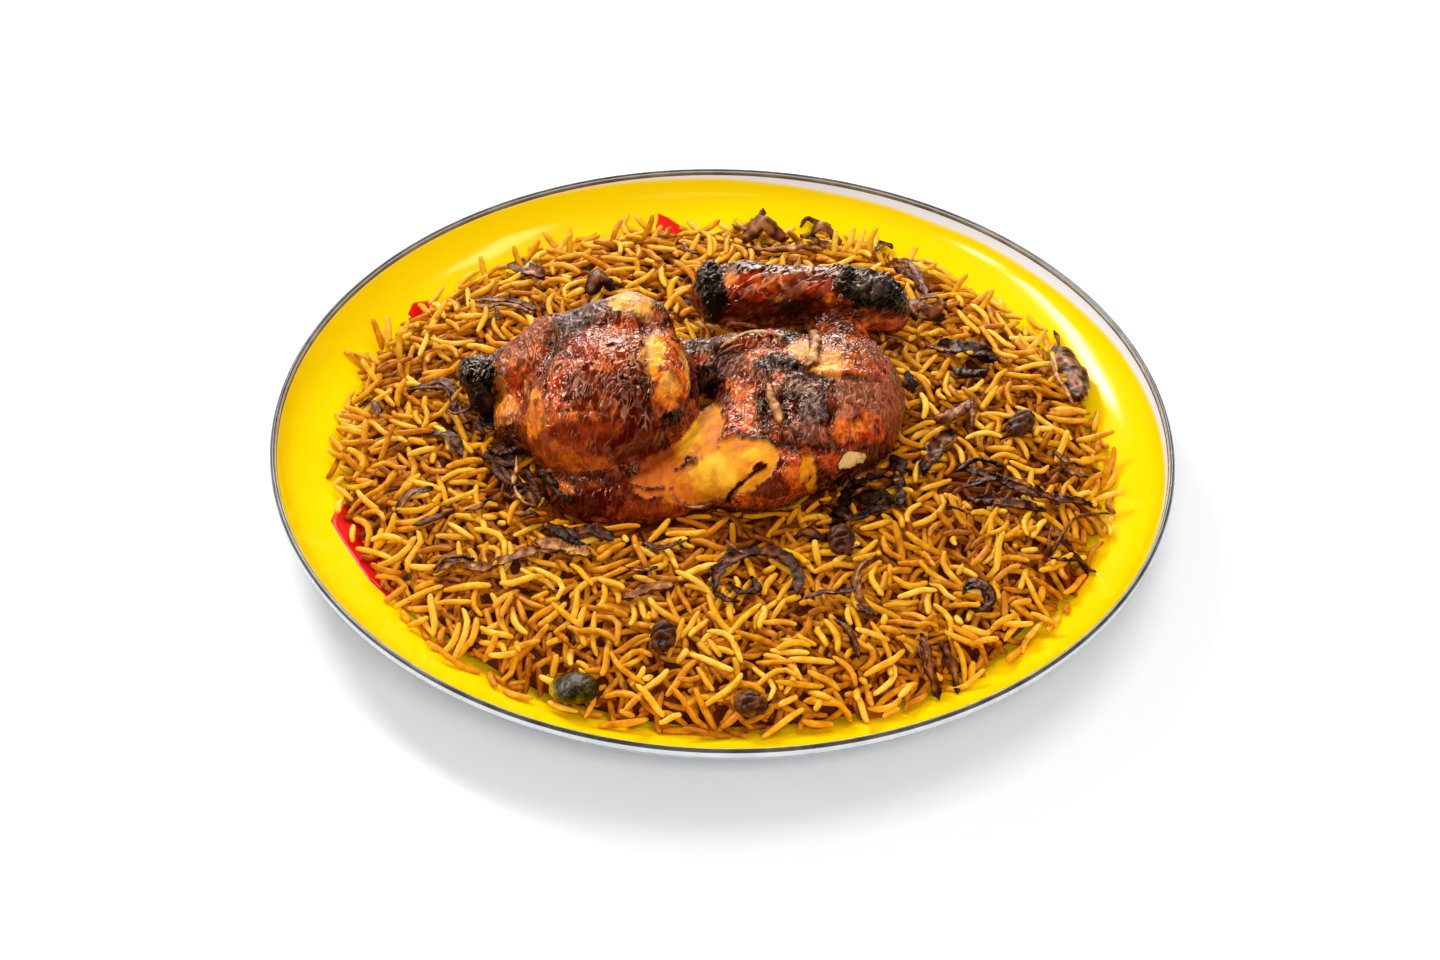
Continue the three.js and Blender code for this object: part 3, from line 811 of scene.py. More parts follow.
BREAST_MARKS = [
    (10, 30, 14, 16, 0, "glaze", 1),
    (9, 30, 8, 13, 10, "red", 0.8),
    (11, 29, 4.4, 9, 10, "orange", 0.8),
    (5, 36, 3, 5, 0, "orange", 0.6),
    (0, 33, 4, 9, 0, "dark", 0.95),
    (17, 33, 3, 9, 0, "dark", 0.7),
    (10, 40, 9, 3, 0, "char", 0.5),
    (12, 46, 11, 4, 25, "orange", 0.85),
    (3, 45, 7, 6, 10, "plum", 0.9),
    (-5, 38, 5, 8, -20, "char", 0.95),
    (-3, 55, 10, 6, 10, "plum", 1),
    (-4, 56, 5, 3, 10, "ash", 0.7),
    (8, 59, 6, 2.4, 0, "ash", 0.7),
    (24, 43, 11, 5, -12, "char", 0.95),
    (23, 38, 5, 4, 0, "red", 0.7),
    # Painted shadow in the gap between the wing and the breast.
    (28, 58, 6, 4, 0, "black", 1),
    (32, 50, 6, 4, 0, "amber", 1),
    (47, 47, 10, 8, 20, "orange", 1),
    (43, 45, 5, 5, 0, "amber", 1),
    (39, 43, 4, 2, 0, "yellow", 0.7),
    (51, 57, 4, 4, 0, "orange", 1),
    (45, 56, 4, 4, 0, "dark", 0.9),
    (52, 50, 5, 4, 0, "dark", 0.8),
    (56, 44, 7, 4, -10, "orange", 0.8),
    (61, 50, 6, 9, -40, "pink", 0.8),
    (62, 42, 5, 5, 0, "red", 0.6),
    (33, 30, 13, 13, 0, "dark", 1),
    (32, 36, 8, 5, 0, "plum", 0.7),
    (36, 27, 6, 6, 0, "ash", 0.9),
    (28, 24, 3, 3, 0, "burgundy", 0.9),
    (42, 32, 3, 5, 0, "char", 0.7),
    (31, 33, 5, 1.6, 10, "black", 0.8),
    (33, 18, 9, 4, -8, "pink", 0.9),
    (33, 18, 7, 2, -8, "ash", 0.6),
    (17, 26, 3, 9, 5, "char", 0.8),
    (54, 31, 13, 10, -10, "pink", 1),
    (52, 35, 8, 3, -10, "plum", 0.35),
    (56, 18, 11, 8, 0, "red", 0.9),
    (48, 19, 6, 5, 0, "orange", 0.7),
    (56, 22, 6, 3, 20, "orange", 0.6),
    (67.5, 32, 3, 18, 0, "brown", 0.95),
    (26, 13, 6, 5, 0, "burgundy", 0.9),
    (35, 12, 9, 3, 0, "dark", 0.9),
    (25, 4, 9, 9, 0, "red", 0.6),
    (28, 2, 4, 5, 0, "orange", 0.6),
    (19, -3, 8, 4, 0, "burgundy", 0.9),
    (44, 0, 9, 9, 0, "dark", 0.9),
    (42, 8, 5, 4, 0, "red", 0.8),
    (62, 5, 12, 10, -10, "burgundy", 1),
    (62, 10, 7, 3, 0, "dark", 0.8),
    (60, 0, 10, 3, 10, "plum", 0.6),
    (58, -7, 12, 6, 0, "black", 0.9),
    (34, 6, 3.4, 5, -6, "flesh", 1),
    (36, -4, 1.8, 7, 5, "flesh", 1),
    (-44, -6, 22, 9, 0, "burgundy", 1),
    (-28, -12, 13, 4, 0, "brown", 0.9),
    (-36, 1, 10, 2, 5, "brown", 0.8),
    (-61, -3, 4, 3, 0, "orange", 0.6),
    (-50, 0, 5, 1.6, 0, "orange", 0.4),
    (-22, 4, 14, 8, 38, "tawny", 1),
    (-9, 20, 10, 13, -20, "flesh", 1),
    (6, 6, 17, 11, 12, "flesh", 1),
    (-9, -3, 13, 7, 0, "flesh", 1),
    (-3, 3, 9, 8, 20, "cream", 0.9),
    (-12, 18, 4, 7, -20, "cream", 0.9),
    (-5, 25, 4, 5, 0, "flesh", 0.8),
    (14, 11, 5, 3, 25, "cream", 1),
    (20, 7, 3, 6, -20, "flesh", 1),
    (-15, 6, 9, 3, 25, "tawny", 0.9),
    (-3, 17, 3, 5, 0, "tawny", 0.6),
    (-14, -5, 6, 3, -30, "tawny", 0.9),
    (-23, -1, 6, 5, 0, "tawny", 0.8),
    (10, 15, 6, 1.6, -10, "tawny", 0.6),
]
WING_MARKS = [
    (22, 75, 30, 12, 0, "dark", 1),
    (9, 76, 12, 4.5, 10, "red", 0.9),
    (19, 74, 11, 4, 20, "red", 0.8),
    (22, 77, 8, 1.6, 25, "orange", 0.6),
    (27, 72, 9, 1.4, 25, "amber", 0.4),
    (34, 75, 12, 4.4, 10, "burgundy", 0.8),
    (37, 74, 6, 2.6, 20, "red", 0.7),
    (43, 70, 4, 3, 0, "orange", 0.6),
    (3, 78, 4, 3, 0, "amber", 0.7),
    (30, 84, 15, 3.4, 0, "dark", 0.7),
    (33, 79, 9, 3, 0, "pink", 0.25),
    (28, 65, 33, 4.6, 0, "black", 0.8),
    (12, 67, 12, 2.6, 0, "burgundy", 0.9),
    (42, 66, 10, 3, 0, "burgundy", 0.8),
    (-3, 75, 5, 13, 10, "char", 1),
    (4, 84, 5, 3, -20, "ash", 0.4),
    (59, 76, 14, 10, -8, "char", 1),
    (47, 85, 12, 3.4, -8, "char", 0.9),
    (60, 76, 6, 6, -20, "ash", 0.35),
    (65, 68, 8, 5, 0, "black", 0.8),
]

# Thin strokes on the breast and under it: points across and up, half width, finish and strength.
STROKES = [
    # The first two strokes paint the slit black and dark red, as painted shade in the cut, which the first
    # crease also dents.
    ([(3, -9), (4, -6), (7, -2), (11, 1.5), (14, 4), (16.5, 5.5)], 0.9, "black", 1),
    ([(14.5, 4.5), (17, 6)], 1.7, "burgundy", 1),
    ([(5, 20), (8, 17.5), (14, 16.5), (19, 16), (22, 13)], 0.9, "black", 0.8),
    ([(22, 13), (23.5, 9), (22, 4), (18, 0)], 0.8, "burgundy", 0.9),
    ([(-17, 4), (-14.5, 5.5), (-13, 7)], 0.9, "black", 0.9),
    ([(-12, 8), (-10, 8)], 1.3, "char", 0.9),
    ([(-1.2, 12.8), (-0.6, 12.8)], 0.5, "dark", 0.9),
    ([(-19, -3), (-17, -8), (-12, -10), (-5, -9.5), (0, -7)], 0.7, "pink", 0.8),
    ([(31, 11), (33.5, 12), (36, 10)], 0.9, "orange", 0.9),
    ([(37, 9), (38, 2), (38, -6)], 0.8, "black", 0.8),
    ([(-34, -2), (-28, -4), (-22, -3)], 0.9, "burgundy", 0.8),
]

# Where highlights are painted on the crests of the wrinkles: across, up, half width, half height,
# turn in degrees and strength.
PAINTED_SHINES = [
    (-41, 54, 11, 8, -8, 1),
    (-36, 48, 8, 6, 0, 0.8),
    (-50, 48, 8, 4, 10, 0.6),
    (-75, 48, 6, 3, 8, 0.9),
    (-84, 43, 2.4, 3, 0, 0.6),
    (-62, 45, 5, 3, 20, 0.4),
    (-57, 37, 7, 4, 0, 0.5),
    (-42, 39, 8, 4, 0, 0.35),
    (-65, 30, 4, 1.6, -10, 0.7),
    (-58, 24, 6, 1.5, -8, 0.7),
    (-22, 38, 4, 5, -40, 0.7),
    (-29, 23, 2.2, 4.5, 0, 0.8),
    (-38, 28, 5, 5, 0, 0.35),
    (-22, 16, 4, 3, 0, 0.35),
    (-50, 14, 3, 1.6, 0, 0.3),
    (18, 76, 14, 4, 12, 0.7),
    (8, 79, 5, 2, 10, 0.7),
    (34, 79, 8, 4, 10, 0.5),
    (57, 77, 8, 7, 0, 0.3),
    (3, 83, 5, 3, 0, 0.5),
    (-1, 76, 3, 4, 40, 0.4),
    (-4, 42, 4, 4, 0, 0.3),
    (5, 57, 4, 2, 0, 0.5),
    (22, 38, 3, 3.4, 0, 0.9),
    (17, 46, 4, 2, 0, 0.6),
    (32, 35, 7, 5, 0, 0.5),
    (36, 27, 5, 5, 0, 0.5),
    (30, 18, 7, 2, -8, 0.6),
    (9, 24, 4, 5, 0, 0.4),
    (4, 35, 2, 4, 0, 0.35),
    (54, 32, 9, 6, 0, 0.5),
    (55, 20, 7, 3, 20, 0.35),
    (60, 1, 9, 3, 12, 0.7),
    (47, 44, 8, 3, 20, 0.3),
]

# Valleys in the skin, dented and painted darker as shade: points across and up, width and depth.
CREASES = [
    ([(-66, 57), (-66, 50), (-70, 43), (-76, 35), (-78, 27)], 2.4, 3.0),
    ([(-88, 50), (-88, 40), (-86, 32)], 2.0, 1.6),
    ([(-14, 56), (-10, 47), (-10, 36), (-13, 27)], 1.8, 1.8),
    ([(-62, 2), (-50, 0), (-38, 1), (-28, 6), (-20, 13)], 2.4, 1.8),
    ([(19, 40), (18, 30), (17, 21)], 1.4, 1.2),
    ([(14, 47), (22, 44), (32, 43), (40, 39)], 1.6, 1.3),
    ([(38, 41), (50, 40), (60, 38)], 1.4, 0.9),
    ([(-2, 50), (8, 51), (16, 53), (24, 53)], 1.8, 1.8),
    ([(24, 15), (34, 11), (44, 12)], 1.8, 1.4),
    ([(46, -2), (56, 3), (68, 5)], 2, 1.8),
    ([(-30, 62), (-28, 50), (-30, 38), (-27, 27)], 1.4, 0.7),
    ([(44, 38), (45, 30), (43, 20)], 1.6, 0.9),
    ([(26, 38), (25, 30), (26, 22)], 1.4, 0.9),
    ([(-24, 30), (-20, 25), (-15, 27)], 1.4, 1.0),
    ([(3, -9), (4, -6), (7, -2), (11, 1.5), (14, 4), (16.5, 5.5)], 1.0, 1.6),
    ([(52, 82), (54, 74), (53, 66)], 2.0, 1.6),
    ([(3, 86), (0, 78), (2, 68)], 2.0, 1.4),
]
# Folds that stand out of the skin: points across and up, width and height.
FOLDS = [
    ([(-12, 52), (-12, 42), (-13, 33)], 1.3, 1.2),
    ([(-2, 52.5), (8, 54), (18, 56)], 1.4, 1.4),
    ([(40, 42), (50, 42), (60, 41)], 1.2, 0.8),
    ([(48, -4), (56, 0), (66, 2)], 1.6, 1.6),
    ([(-62, 24), (-54, 25), (-46, 23)], 1.4, 0.7),
    ([(30, 8), (34, 3), (36, -5)], 1.6, 0.9),
    ([(24, 22), (32, 20), (42, 18)], 2.4, 1.0),
    ([(-3, 88), (-5, 78), (-4, 66)], 2.6, 2.0),
]


def inside(place, across, up, half_width, half_height, turn):
    """About how far each place is inside an oval, below 0 outside it."""
    c, s = math.cos(math.radians(turn)), math.sin(math.radians(turn))
    local = (place - (across, up)) @ np.array([[c, -s], [s, c]])
    return (1 - np.linalg.norm(local / (half_width, half_height), axis=1)) * min(half_width, half_height)


def off_line(place, path):
    """How far each place is from a path of straight stretches."""
    nearest = np.full(len(place), 1e9)
    for start, end in zip(path[:-1], path[1:]):
        start, along = np.array(start, float), np.subtract(end, start)
        t = np.clip((place - start) @ along / (along @ along), 0, 1)
        nearest = np.minimum(nearest, np.linalg.norm(place - start - t[:, None] * along, axis=1))
    return nearest


def painted_shine_at(points, facing, place):
    """How strongly highlights are painted on the crests of the wrinkles at each point."""
    frayed = 1.6 * noise(points, 3.2, 3.9)
    shine = np.zeros(len(points))
    for *oval, strength in PAINTED_SHINES:
        shine = np.maximum(shine, strength * smooth(-1.5, 2.5, inside(place, *oval) + frayed))
    return 0.4 * shine * facing


# Where a finish keeps its values, after its colour.
DULL, WRINKLE, BARE, SPOTTED = 3, 4, 5, 6


def finish_of(name):
    colour, *rest = FINISHES[name]
    return np.array([*paint(*colour), *rest])


def covered(look, name, share):
    """Finishes covered to a share by the named one."""
    return lerp(look, finish_of(name), share[:, None])


def roast_finish(points, facing, place):
    """The finish of each point of the chicken: patches by chance, marks, mottling and strokes."""
    # How soft the edges of the marks are, in millimetres.
    SOFT = 0.7
    leg, breast, wing = LEG(points), BREAST(points), WING(points)
    broad = noise(points, 15, 4.1)
    patchy = noise(points, 7, 9.2)
    look = np.tile(finish_of("glaze"), (len(points), 1))
    look = covered(look, "orange", 0.8 * smooth(0.08, 0.35, broad))
    look = covered(look, "dark", 0.9 * smooth(-0.05, -0.3, broad + 0.4 * patchy))
    look = covered(look, "char", 0.5 * smooth(0.3, 0.45, patchy - 0.3 * broad))
    torn = strayed(place, points, 1.6, 6, (1.3, 2.6))
    frayed = 2.2 * noise(points, 3.2, 3.9) + 1.4 * noise(points, 1.7, 5.2)
    parts = [(LEG_MARKS, leg <= np.minimum(breast, wing)), (BREAST_MARKS, breast < np.minimum(leg, wing)),
             (WING_MARKS, wing < np.minimum(leg, breast))]
    for marks, mine in parts:
        for *oval, name, strength in marks:
            share = smooth(-SOFT, SOFT, inside(torn[mine], *oval) + frayed[mine]) * strength * facing[mine]
            look[mine] = covered(look[mine], name, share)
    spotted = look[:, SPOTTED] * smooth(0.3, 0.1, look[:, BARE])
    mottle = noise(points, 4.2, 6.6)
    look = covered(look, "dark", 0.8 * spotted * smooth(-0.06, -0.26, mottle))
    look = covered(look, "orange", 0.35 * spotted * smooth(0.14, 0.32, mottle))
    wavy = strayed(place, points, 0.8, 4, (6.1, 7.7))
    for path, width, name, strength in STROKES:
        near = off_line(wavy, path) + 0.5 * frayed
        share = smooth(1.15, 0.75, near / width) * strength * facing * (breast < np.minimum(leg, wing) + 1)
        look = covered(look, name, share)
    return look


# The ways that the folds of the skin run: over the bird's side, and slanted over its wing.
UPWARD = (0.15, 0.6, 0.8)
SLANTED = (0.8, 0.35, 0.45)


def roast_look():
    look = Look("roast_skin", {"Specular IOR Level": 0.52, "Specular Tint": (1, 0.66, 0.4, 1)})
    wrinkle, slant = look.stored("wrinkle"), look.stored("slant")
    upward = look.crests(look.streaks(UPWARD, 2.2, 270, 0, 0.5, 1.4), 6)
    slanted = look.crests(look.streaks(SLANTED, 3.5, 270, 0, 0.5, 0.8), 6)
    crest = look.plus(look.times(upward, look.minus(1.0, slant)), look.times(slanted, slant))
    rise = look.times(look.math("POWER", crest, 1.4), wrinkle)
    # Painted light and shade: the crests of the wrinkles are made lighter and the hollows darker.
    crest_shading = look.times(look.times(look.minus(crest, 0.66), wrinkle), 0.45)
    speckle = look.ramp(look.noise(600, 3, 0.6), [(0.32, 0.5), (0.5, 0.95), (0.72, 1.25)])
    tint = look.mix(wrinkle, look.stored("tint", "Color"), speckle, "MULTIPLY")
    tint = look.mix(1.0, tint, look.plus(crest_shading, 1.0), "MULTIPLY")
    # Painted highlight: the sharpest crests are mixed towards a pale pink where the shine attribute is high.
    painted_highlight = look.times(look.math("POWER", crest, 7.0), look.stored("shine"), clamp=True)
    tint = look.mix(painted_highlight, tint, (*paint(242, 182, 132), 1))
    dull = look.plus(look.stored("dull"), look.times(look.noise(300, 2), 0.06))
    folds = look.bump(rise, 0.0005, 1.0)
    coarse = look.bump(look.noise(380, 0, 0.5, 0.8), 0.0003, 0.4, folds)
    return look.finish(Base_Color=tint, Roughness=dull, Normal=coarse)


def build_chicken(grid):
    points, quads = grid.surface()
    normals = normals_of(points, quads)
    place = laid_out(points)
    to_eye = EYE_PLACE - points
    facing = smooth(-0.05, 0.2, (normals * to_eye).sum(1) / np.linalg.norm(to_eye, axis=1))
    look = roast_finish(points, facing, place)
    wrinkle, bare = look[:, WRINKLE], smooth(0.35, 0.65, look[:, BARE])

    loose = wander(points, 6, 2.2, 2.0)
    wing_near = smooth(0, 4, np.minimum(LEG(points), BREAST(points)) - WING(points))
    upward = ridges(loose, UPWARD, 8, 2.8)
    slanted = ridges(loose, SLANTED, 12, 2.8)
    netted = np.minimum(cracks(loose, 4.6), 0.5) * 2
    rise = lerp(0.75 * upward + 0.5 * netted, 1.05 * slanted + 0.2 * netted, wing_near) - 0.7
    rise += 0.4 * ridges(wander(points, 3, 0.9, 5.0), (0.5, 0.5, 0.5), 3, 1.9)
    burnt = smooth(1.1, 1.5, wrinkle)
    browned = smooth(0, 0.12, look[:, 0])
    crumpled = 1.6 * noise(points, 4.5, 8.0) + 0.8 * ridges(loose, (0.3, 0.3, 1), 4, 2.4, 4.0)
    strands = ridges(loose, (0.7, 0.55, 0.4), 16, 2.2)
    shift = 0.95 * wrinkle * rise + 1.3 * noise(points, 11, 3.0) * (1 - 0.5 * bare) + 1.1 * burnt * crumpled
    shift += bare * (0.25 * strands - 1.0) + 0.5 * smooth(0.1, 0.5, look[:, BARE]) * (1 - bare)
    valley = np.zeros(len(points))
    wavy = strayed(place, points, 1, 8, (6.1, 7.7))
    for path, width, depth in CREASES:
        dent = facing * np.exp(-(off_line(wavy, path) / width) ** 2)
        shift -= depth * dent
        valley = np.maximum(valley, dent)
    for path, width, height in FOLDS:
        shift += facing * height * np.exp(-(off_line(wavy, path) / width) ** 2)
    points = points + normals * shift[:, None]

    blotch = 1 + 0.5 * noise(points, 4.5, 12.0) + 0.25 * noise(points, 2.2, 14.0)
    hem = np.exp(-((look[:, BARE] - 0.4) / 0.18) ** 2)
    between = np.minimum(wrinkle, 1) * smooth(0.2, -0.45, rise)
    # Painted shade: the creases and the hollows between the wrinkles are darkened in the colour. The hem,
    # where skin meets bare flesh, is darkened too.
    shade = (1 - 0.6 * valley) * (1 - 0.45 * between) * (1 - 0.4 * hem)
    # Shade takes more of the green and the blue than of the red, as it does in a brown skin.
    DARKENING = [1, 1.45, 1.9]
    tint = np.clip(look[:, :3] * np.clip(shade * blotch, 0.12, 1.2)[:, None] ** DARKENING, 0, 1)
    # Painted highlights: the listed shining places, and a faint one wherever the skin is wrinkled and not
    # black.
    shine = painted_shine_at(points, facing, place) * (1 - 0.8 * burnt) + 0.1 * wrinkle * browned
    values = {"dull": look[:, DULL], "wrinkle": np.clip(wrinkle, 0, 1.2), "slant": wing_near, "shine": shine}
    chicken = make_mesh("chicken_roast", points, [quads], roast_look(), values, {"tint": tint})
    dress(chicken, "roast_chicken", "chicken")


# Grains of rice, laid one by one on a map of heights

MAP_STEP = 1.0
MAP_HALF = 168
GRAIN_RADIUS = 1.32
GRAIN_STATIONS = np.linspace(-1, 1, 9)
FILL_DEPTH = 9
# How high the loose grains may lie over the wall: inside the heap's edge at least, and outside it,
# where they spill down the wall.
LEAST_RISE = 4
FOOT_RISE = 4.6
FOOT_SLOPE = 1.1
FOOT_LEAST = -9


class HeightMap:
    """Heights at the nodes of a square grid over the plate."""

    def __init__(self):
        self.count = int(2 * MAP_HALF / MAP_STEP) + 1
        axis = (np.arange(self.count) - (self.count - 1) / 2) * MAP_STEP
        self.x, self.y = np.meshgrid(axis, axis, indexing="ij")
        radius = np.hypot(self.x, self.y)
        edge = heap_edge(np.arctan2(self.y, self.x))
        wall = wall_height(radius)
        top = heap_top(self.x, self.y)
        self.inward = edge - radius
        self.floor = np.where(self.inward > 0, np.maximum(top - FILL_DEPTH, wall), wall)
        self.height = self.floor.copy()
        foot = wall + np.maximum(FOOT_RISE + FOOT_SLOPE * self.inward, FOOT_LEAST)
        self.top = np.where(self.inward > 0, np.maximum(top, wall + LEAST_RISE), foot)

    def index(self, x, y):
        i = np.rint(x / MAP_STEP + (self.count - 1) / 2).astype(int)
        j = np.rint(y / MAP_STEP + (self.count - 1) / 2).astype(int)
        return np.clip(i, 0, self.count - 1), np.clip(j, 0, self.count - 1)

    def at(self, values, x, y):
        i, j = self.index(x, y)
        return values[i, j]

    def stamp(self, line, radius):
        """Raises the map to the top of a round bar along the points of a line."""
        reach = int(math.ceil(radius / MAP_STEP))
        steps = np.arange(-reach, reach + 1)
        i, j = self.index(line[:, 0], line[:, 1])
        i = np.clip(i[:, None, None] + steps[:, None], 0, self.count - 1)
        j = np.clip(j[:, None, None] + steps[None, :], 0, self.count - 1)
        i, j = np.broadcast_arrays(i, j)
        apart = (self.x[i, j] - line[:, 0, None, None]) ** 2 + (self.y[i, j] - line[:, 1, None, None]) ** 2
        rise = line[:, 2, None, None] + np.sqrt(np.maximum(radius ** 2 - apart, 0))
        hit = apart < radius ** 2
        np.maximum.at(self.height, (i[hit], j[hit]), rise[hit])


def resting_lines(ground, x, y, heading, half_length, bend):
    """Where bars of the given headings and bends come to rest: rows of points along each.

    A bar rests on the two points under it, one on each side of its middle, that hold it highest, and
    its ends sag over them.
    """
    SIDES = (-0.7, 0, 0.7)
    SAG_SHARE, MOST_SAG = 0.8, 2.5
    PRESSED = 0.92
    t = GRAIN_STATIONS
    along = np.stack([np.cos(heading), np.sin(heading)], -1)
    across = np.stack([-along[:, 1], along[:, 0]], -1)
    reach = (half_length[:, None] * t)[..., None] * along[:, None]
    bow = bend[:, 0, None] * (1 / 3 - t ** 2) + bend[:, 1, None] * (t - t ** 3)
    flat = np.stack([x, y], -1)[:, None] + reach + bow[..., None] * across[:, None]
    under = np.full(flat.shape[:2], -1e9)
    for side in SIDES:
        edge = flat + side * GRAIN_RADIUS * across[:, None]
        under = np.maximum(under, ground.at(ground.height, edge[..., 0], edge[..., 1]))
    middle = len(t) // 2
    best = under[:, middle].copy()
    lean = np.zeros(len(x))
    for i in range(middle):
        for j in range(middle + 1, len(t)):
            share = -t[i] / (t[j] - t[i])
            height = lerp(under[:, i], under[:, j], share)
            higher = height > best
            lean = np.where(higher, (under[:, j] - under[:, i]) / (t[j] - t[i]), lean)
            best = np.maximum(best, height)
    line = best[:, None] + lean[:, None] * t
    spare = np.maximum(line - under, 0)
    line = line + np.maximum(under - line, 0).max(1)[:, None]
    ends = [0, 1, -2, -1]
    sag = np.minimum((spare[:, ends] / t[ends] ** 2).min(1) * SAG_SHARE, MOST_SAG)
    line = line - sag[:, None] * t ** 2
    return np.concatenate([flat, (line + GRAIN_RADIUS * PRESSED)[..., None]], -1)


def lay_bed(ground, chicken):
    """Even rows of grains just under the top, pressed into each other, so that no gap shows through."""
    COUNT = 2700
    DEPTH = 4.8
    GOLDEN_ANGLE = math.pi * (3 - math.sqrt(5))
    draw = np.random.default_rng(29)
    number = np.arange(COUNT)
    angle = number * GOLDEN_ANGLE
    radius = np.sqrt((number + 0.5) / COUNT) * (heap_edge(angle) - 2)
    middle = np.stack([radius * np.cos(angle), radius * np.sin(angle)], 1) + draw.normal(0, 1, (COUNT, 2))
    heading = draw.uniform(0, 2 * np.pi, COUNT)
    along = np.stack([np.cos(heading), np.sin(heading)], 1)
    across = np.stack([-along[:, 1], along[:, 0]], 1)
    t = GRAIN_STATIONS
    half = draw.uniform(4.6, 7.4, COUNT)
    bend = draw.normal(0, 1.2, COUNT)
    flat = middle[:, None] + (half[:, None] * t)[..., None] * along[:, None]
    flat += (bend[:, None] * (1 / 3 - t ** 2))[..., None] * across[:, None]
    lean = draw.normal(0, 1.1, COUNT)[:, None] * t
    depth = DEPTH + draw.uniform(-1, 1, COUNT)[:, None] + lean
    top = heap_top(flat[..., 0], flat[..., 1])
    wall = wall_height(np.hypot(flat[..., 0], flat[..., 1]))
    height = np.maximum(top - depth, wall + GRAIN_RADIUS)
    lines = np.concatenate([flat, height[..., None]], -1)
    edge = heap_edge(np.arctan2(flat[..., 1], flat[..., 0]))
    within = (np.hypot(flat[..., 0], flat[..., 1]) < edge + 1).all(1)
    kept = within & (chicken.near(lines).min(1) > GRAIN_RADIUS * 0.5)
    lines = lines[kept]
    for line in lines:
        ground.stamp(line, GRAIN_RADIUS)
    return lines, np.full(len(lines), GRAIN_RADIUS)


def lay_rice(ground, limit, chicken):
    """Lays grains until the heap is full, each in the best of a few random places."""
    TRIES = 9
    ROUNDS = 12000
    REFRESH = 40
    MOST_IDLE = 700
    SPILL = 1.1
    END_SPILL = 2.0
    BROKEN_SHARE = 0.18
    WHOLE_HALF, BROKEN_HALF = (5.8, 9.4), (2.4, 4.6)
    CURLED_SHARE = 0.14
    LEAN = 0.24
    draw = np.random.default_rng(17)
    lines, radii = [], []
    idle = 0
    for number in range(ROUNDS):
        if number % REFRESH == 0:
            room = np.clip(limit - ground.height, 0, 5) ** 2
            room[ground.inward < -2.5] = 0
            chance = np.cumsum(room.ravel())
        pick = np.searchsorted(chance, draw.random(TRIES) * chance[-1])
        x = ground.x.ravel()[pick] + draw.uniform(-0.5, 0.5, TRIES)
        y = ground.y.ravel()[pick] + draw.uniform(-0.5, 0.5, TRIES)
        drift = 1.6 * noise(np.stack([x, y, np.zeros(TRIES)], 1), 38)
        heading = 2 * np.pi * drift + draw.normal(0, 1.1, TRIES)
        whole = draw.random() > BROKEN_SHARE
        half = draw.uniform(*WHOLE_HALF) if whole else draw.uniform(*BROKEN_HALF)
        curl = 2.1 if draw.random() < CURLED_SHARE else 1
        bend = draw.normal(0, [1.8, 1.2]) * (half / 8) ** 2 * curl
        line = resting_lines(ground, x, y, heading, np.full(TRIES, half), np.tile(bend, (TRIES, 1)))
        radius = GRAIN_RADIUS * draw.uniform(0.86, 1.12)
        over = line[..., 2] + radius - ground.at(limit, line[..., 0], line[..., 1])
        over = (over - END_SPILL * GRAIN_STATIONS ** 2).max(1)
        blocked = chicken.near(line).min(1) < GRAIN_RADIUS * 0.7
        over = np.where(blocked, 1e9, over)
        chosen = int(np.argmin(over))
        if over[chosen] > SPILL:
            idle += 1
            if idle > MOST_IDLE:
                break
            continue
        laid = line[chosen]
        laid[:, 2] += half * draw.normal(0, LEAN) * GRAIN_STATIONS
        wall = wall_height(np.hypot(laid[:, 0], laid[:, 1]))
        laid[:, 2] = np.maximum(laid[:, 2], wall + radius * 0.9)
        lines.append(laid)
        radii.append(radius)
        ground.stamp(laid[1:-1], radius)
        ground.stamp(laid[[0, -1]], radius * 0.6)
    return np.array(lines), np.array(radii)


# Grains that stand out of the heap's edge: base and tip, across and up.
STANDING = [
    ((-131, 51), (-135, 63)), ((-129, 52), (-129, 64)), ((-127, 54), (-121, 62)), ((-137, 43), (-146, 50)),
    ((-134, 44), (-142, 49)), ((-137, 24), (-148, 25)), ((-136, 21), (-147, 22)), ((-124, 46), (-124, 58)),
    ((138, 16), (153, 19)), ((148, -3), (150, 9)), ((144, -8), (157, -5)), ((140, -4), (149, 3)),
    ((112, 56), (124, 55)), ((118, 50), (126, 58)), ((58, 88), (61, 98)), ((52, 88), (56, 97)),
    ((47, 89), (52, 98)), ((44, 88), (45, 97)), ((76, 81), (84, 84)), ((-12, 96), (0, 101)),
    ((-42, 92), (-38, 101)), ((-58, 88), (-58, 98)), ((-63, 87), (-58, 95)), ((-75, 82), (-80, 91)),
    ((-90, 76), (-93, 87)), ((-30, 94), (-26, 103)), ((100, 66), (106, 74)), ((90, 72), (96, 80)),
    ((-143, 10), (-152, 12)), ((-146, 2), (-152, -4)), ((148, -20), (152, -14)), ((-112, 62), (-106, 70)),
]


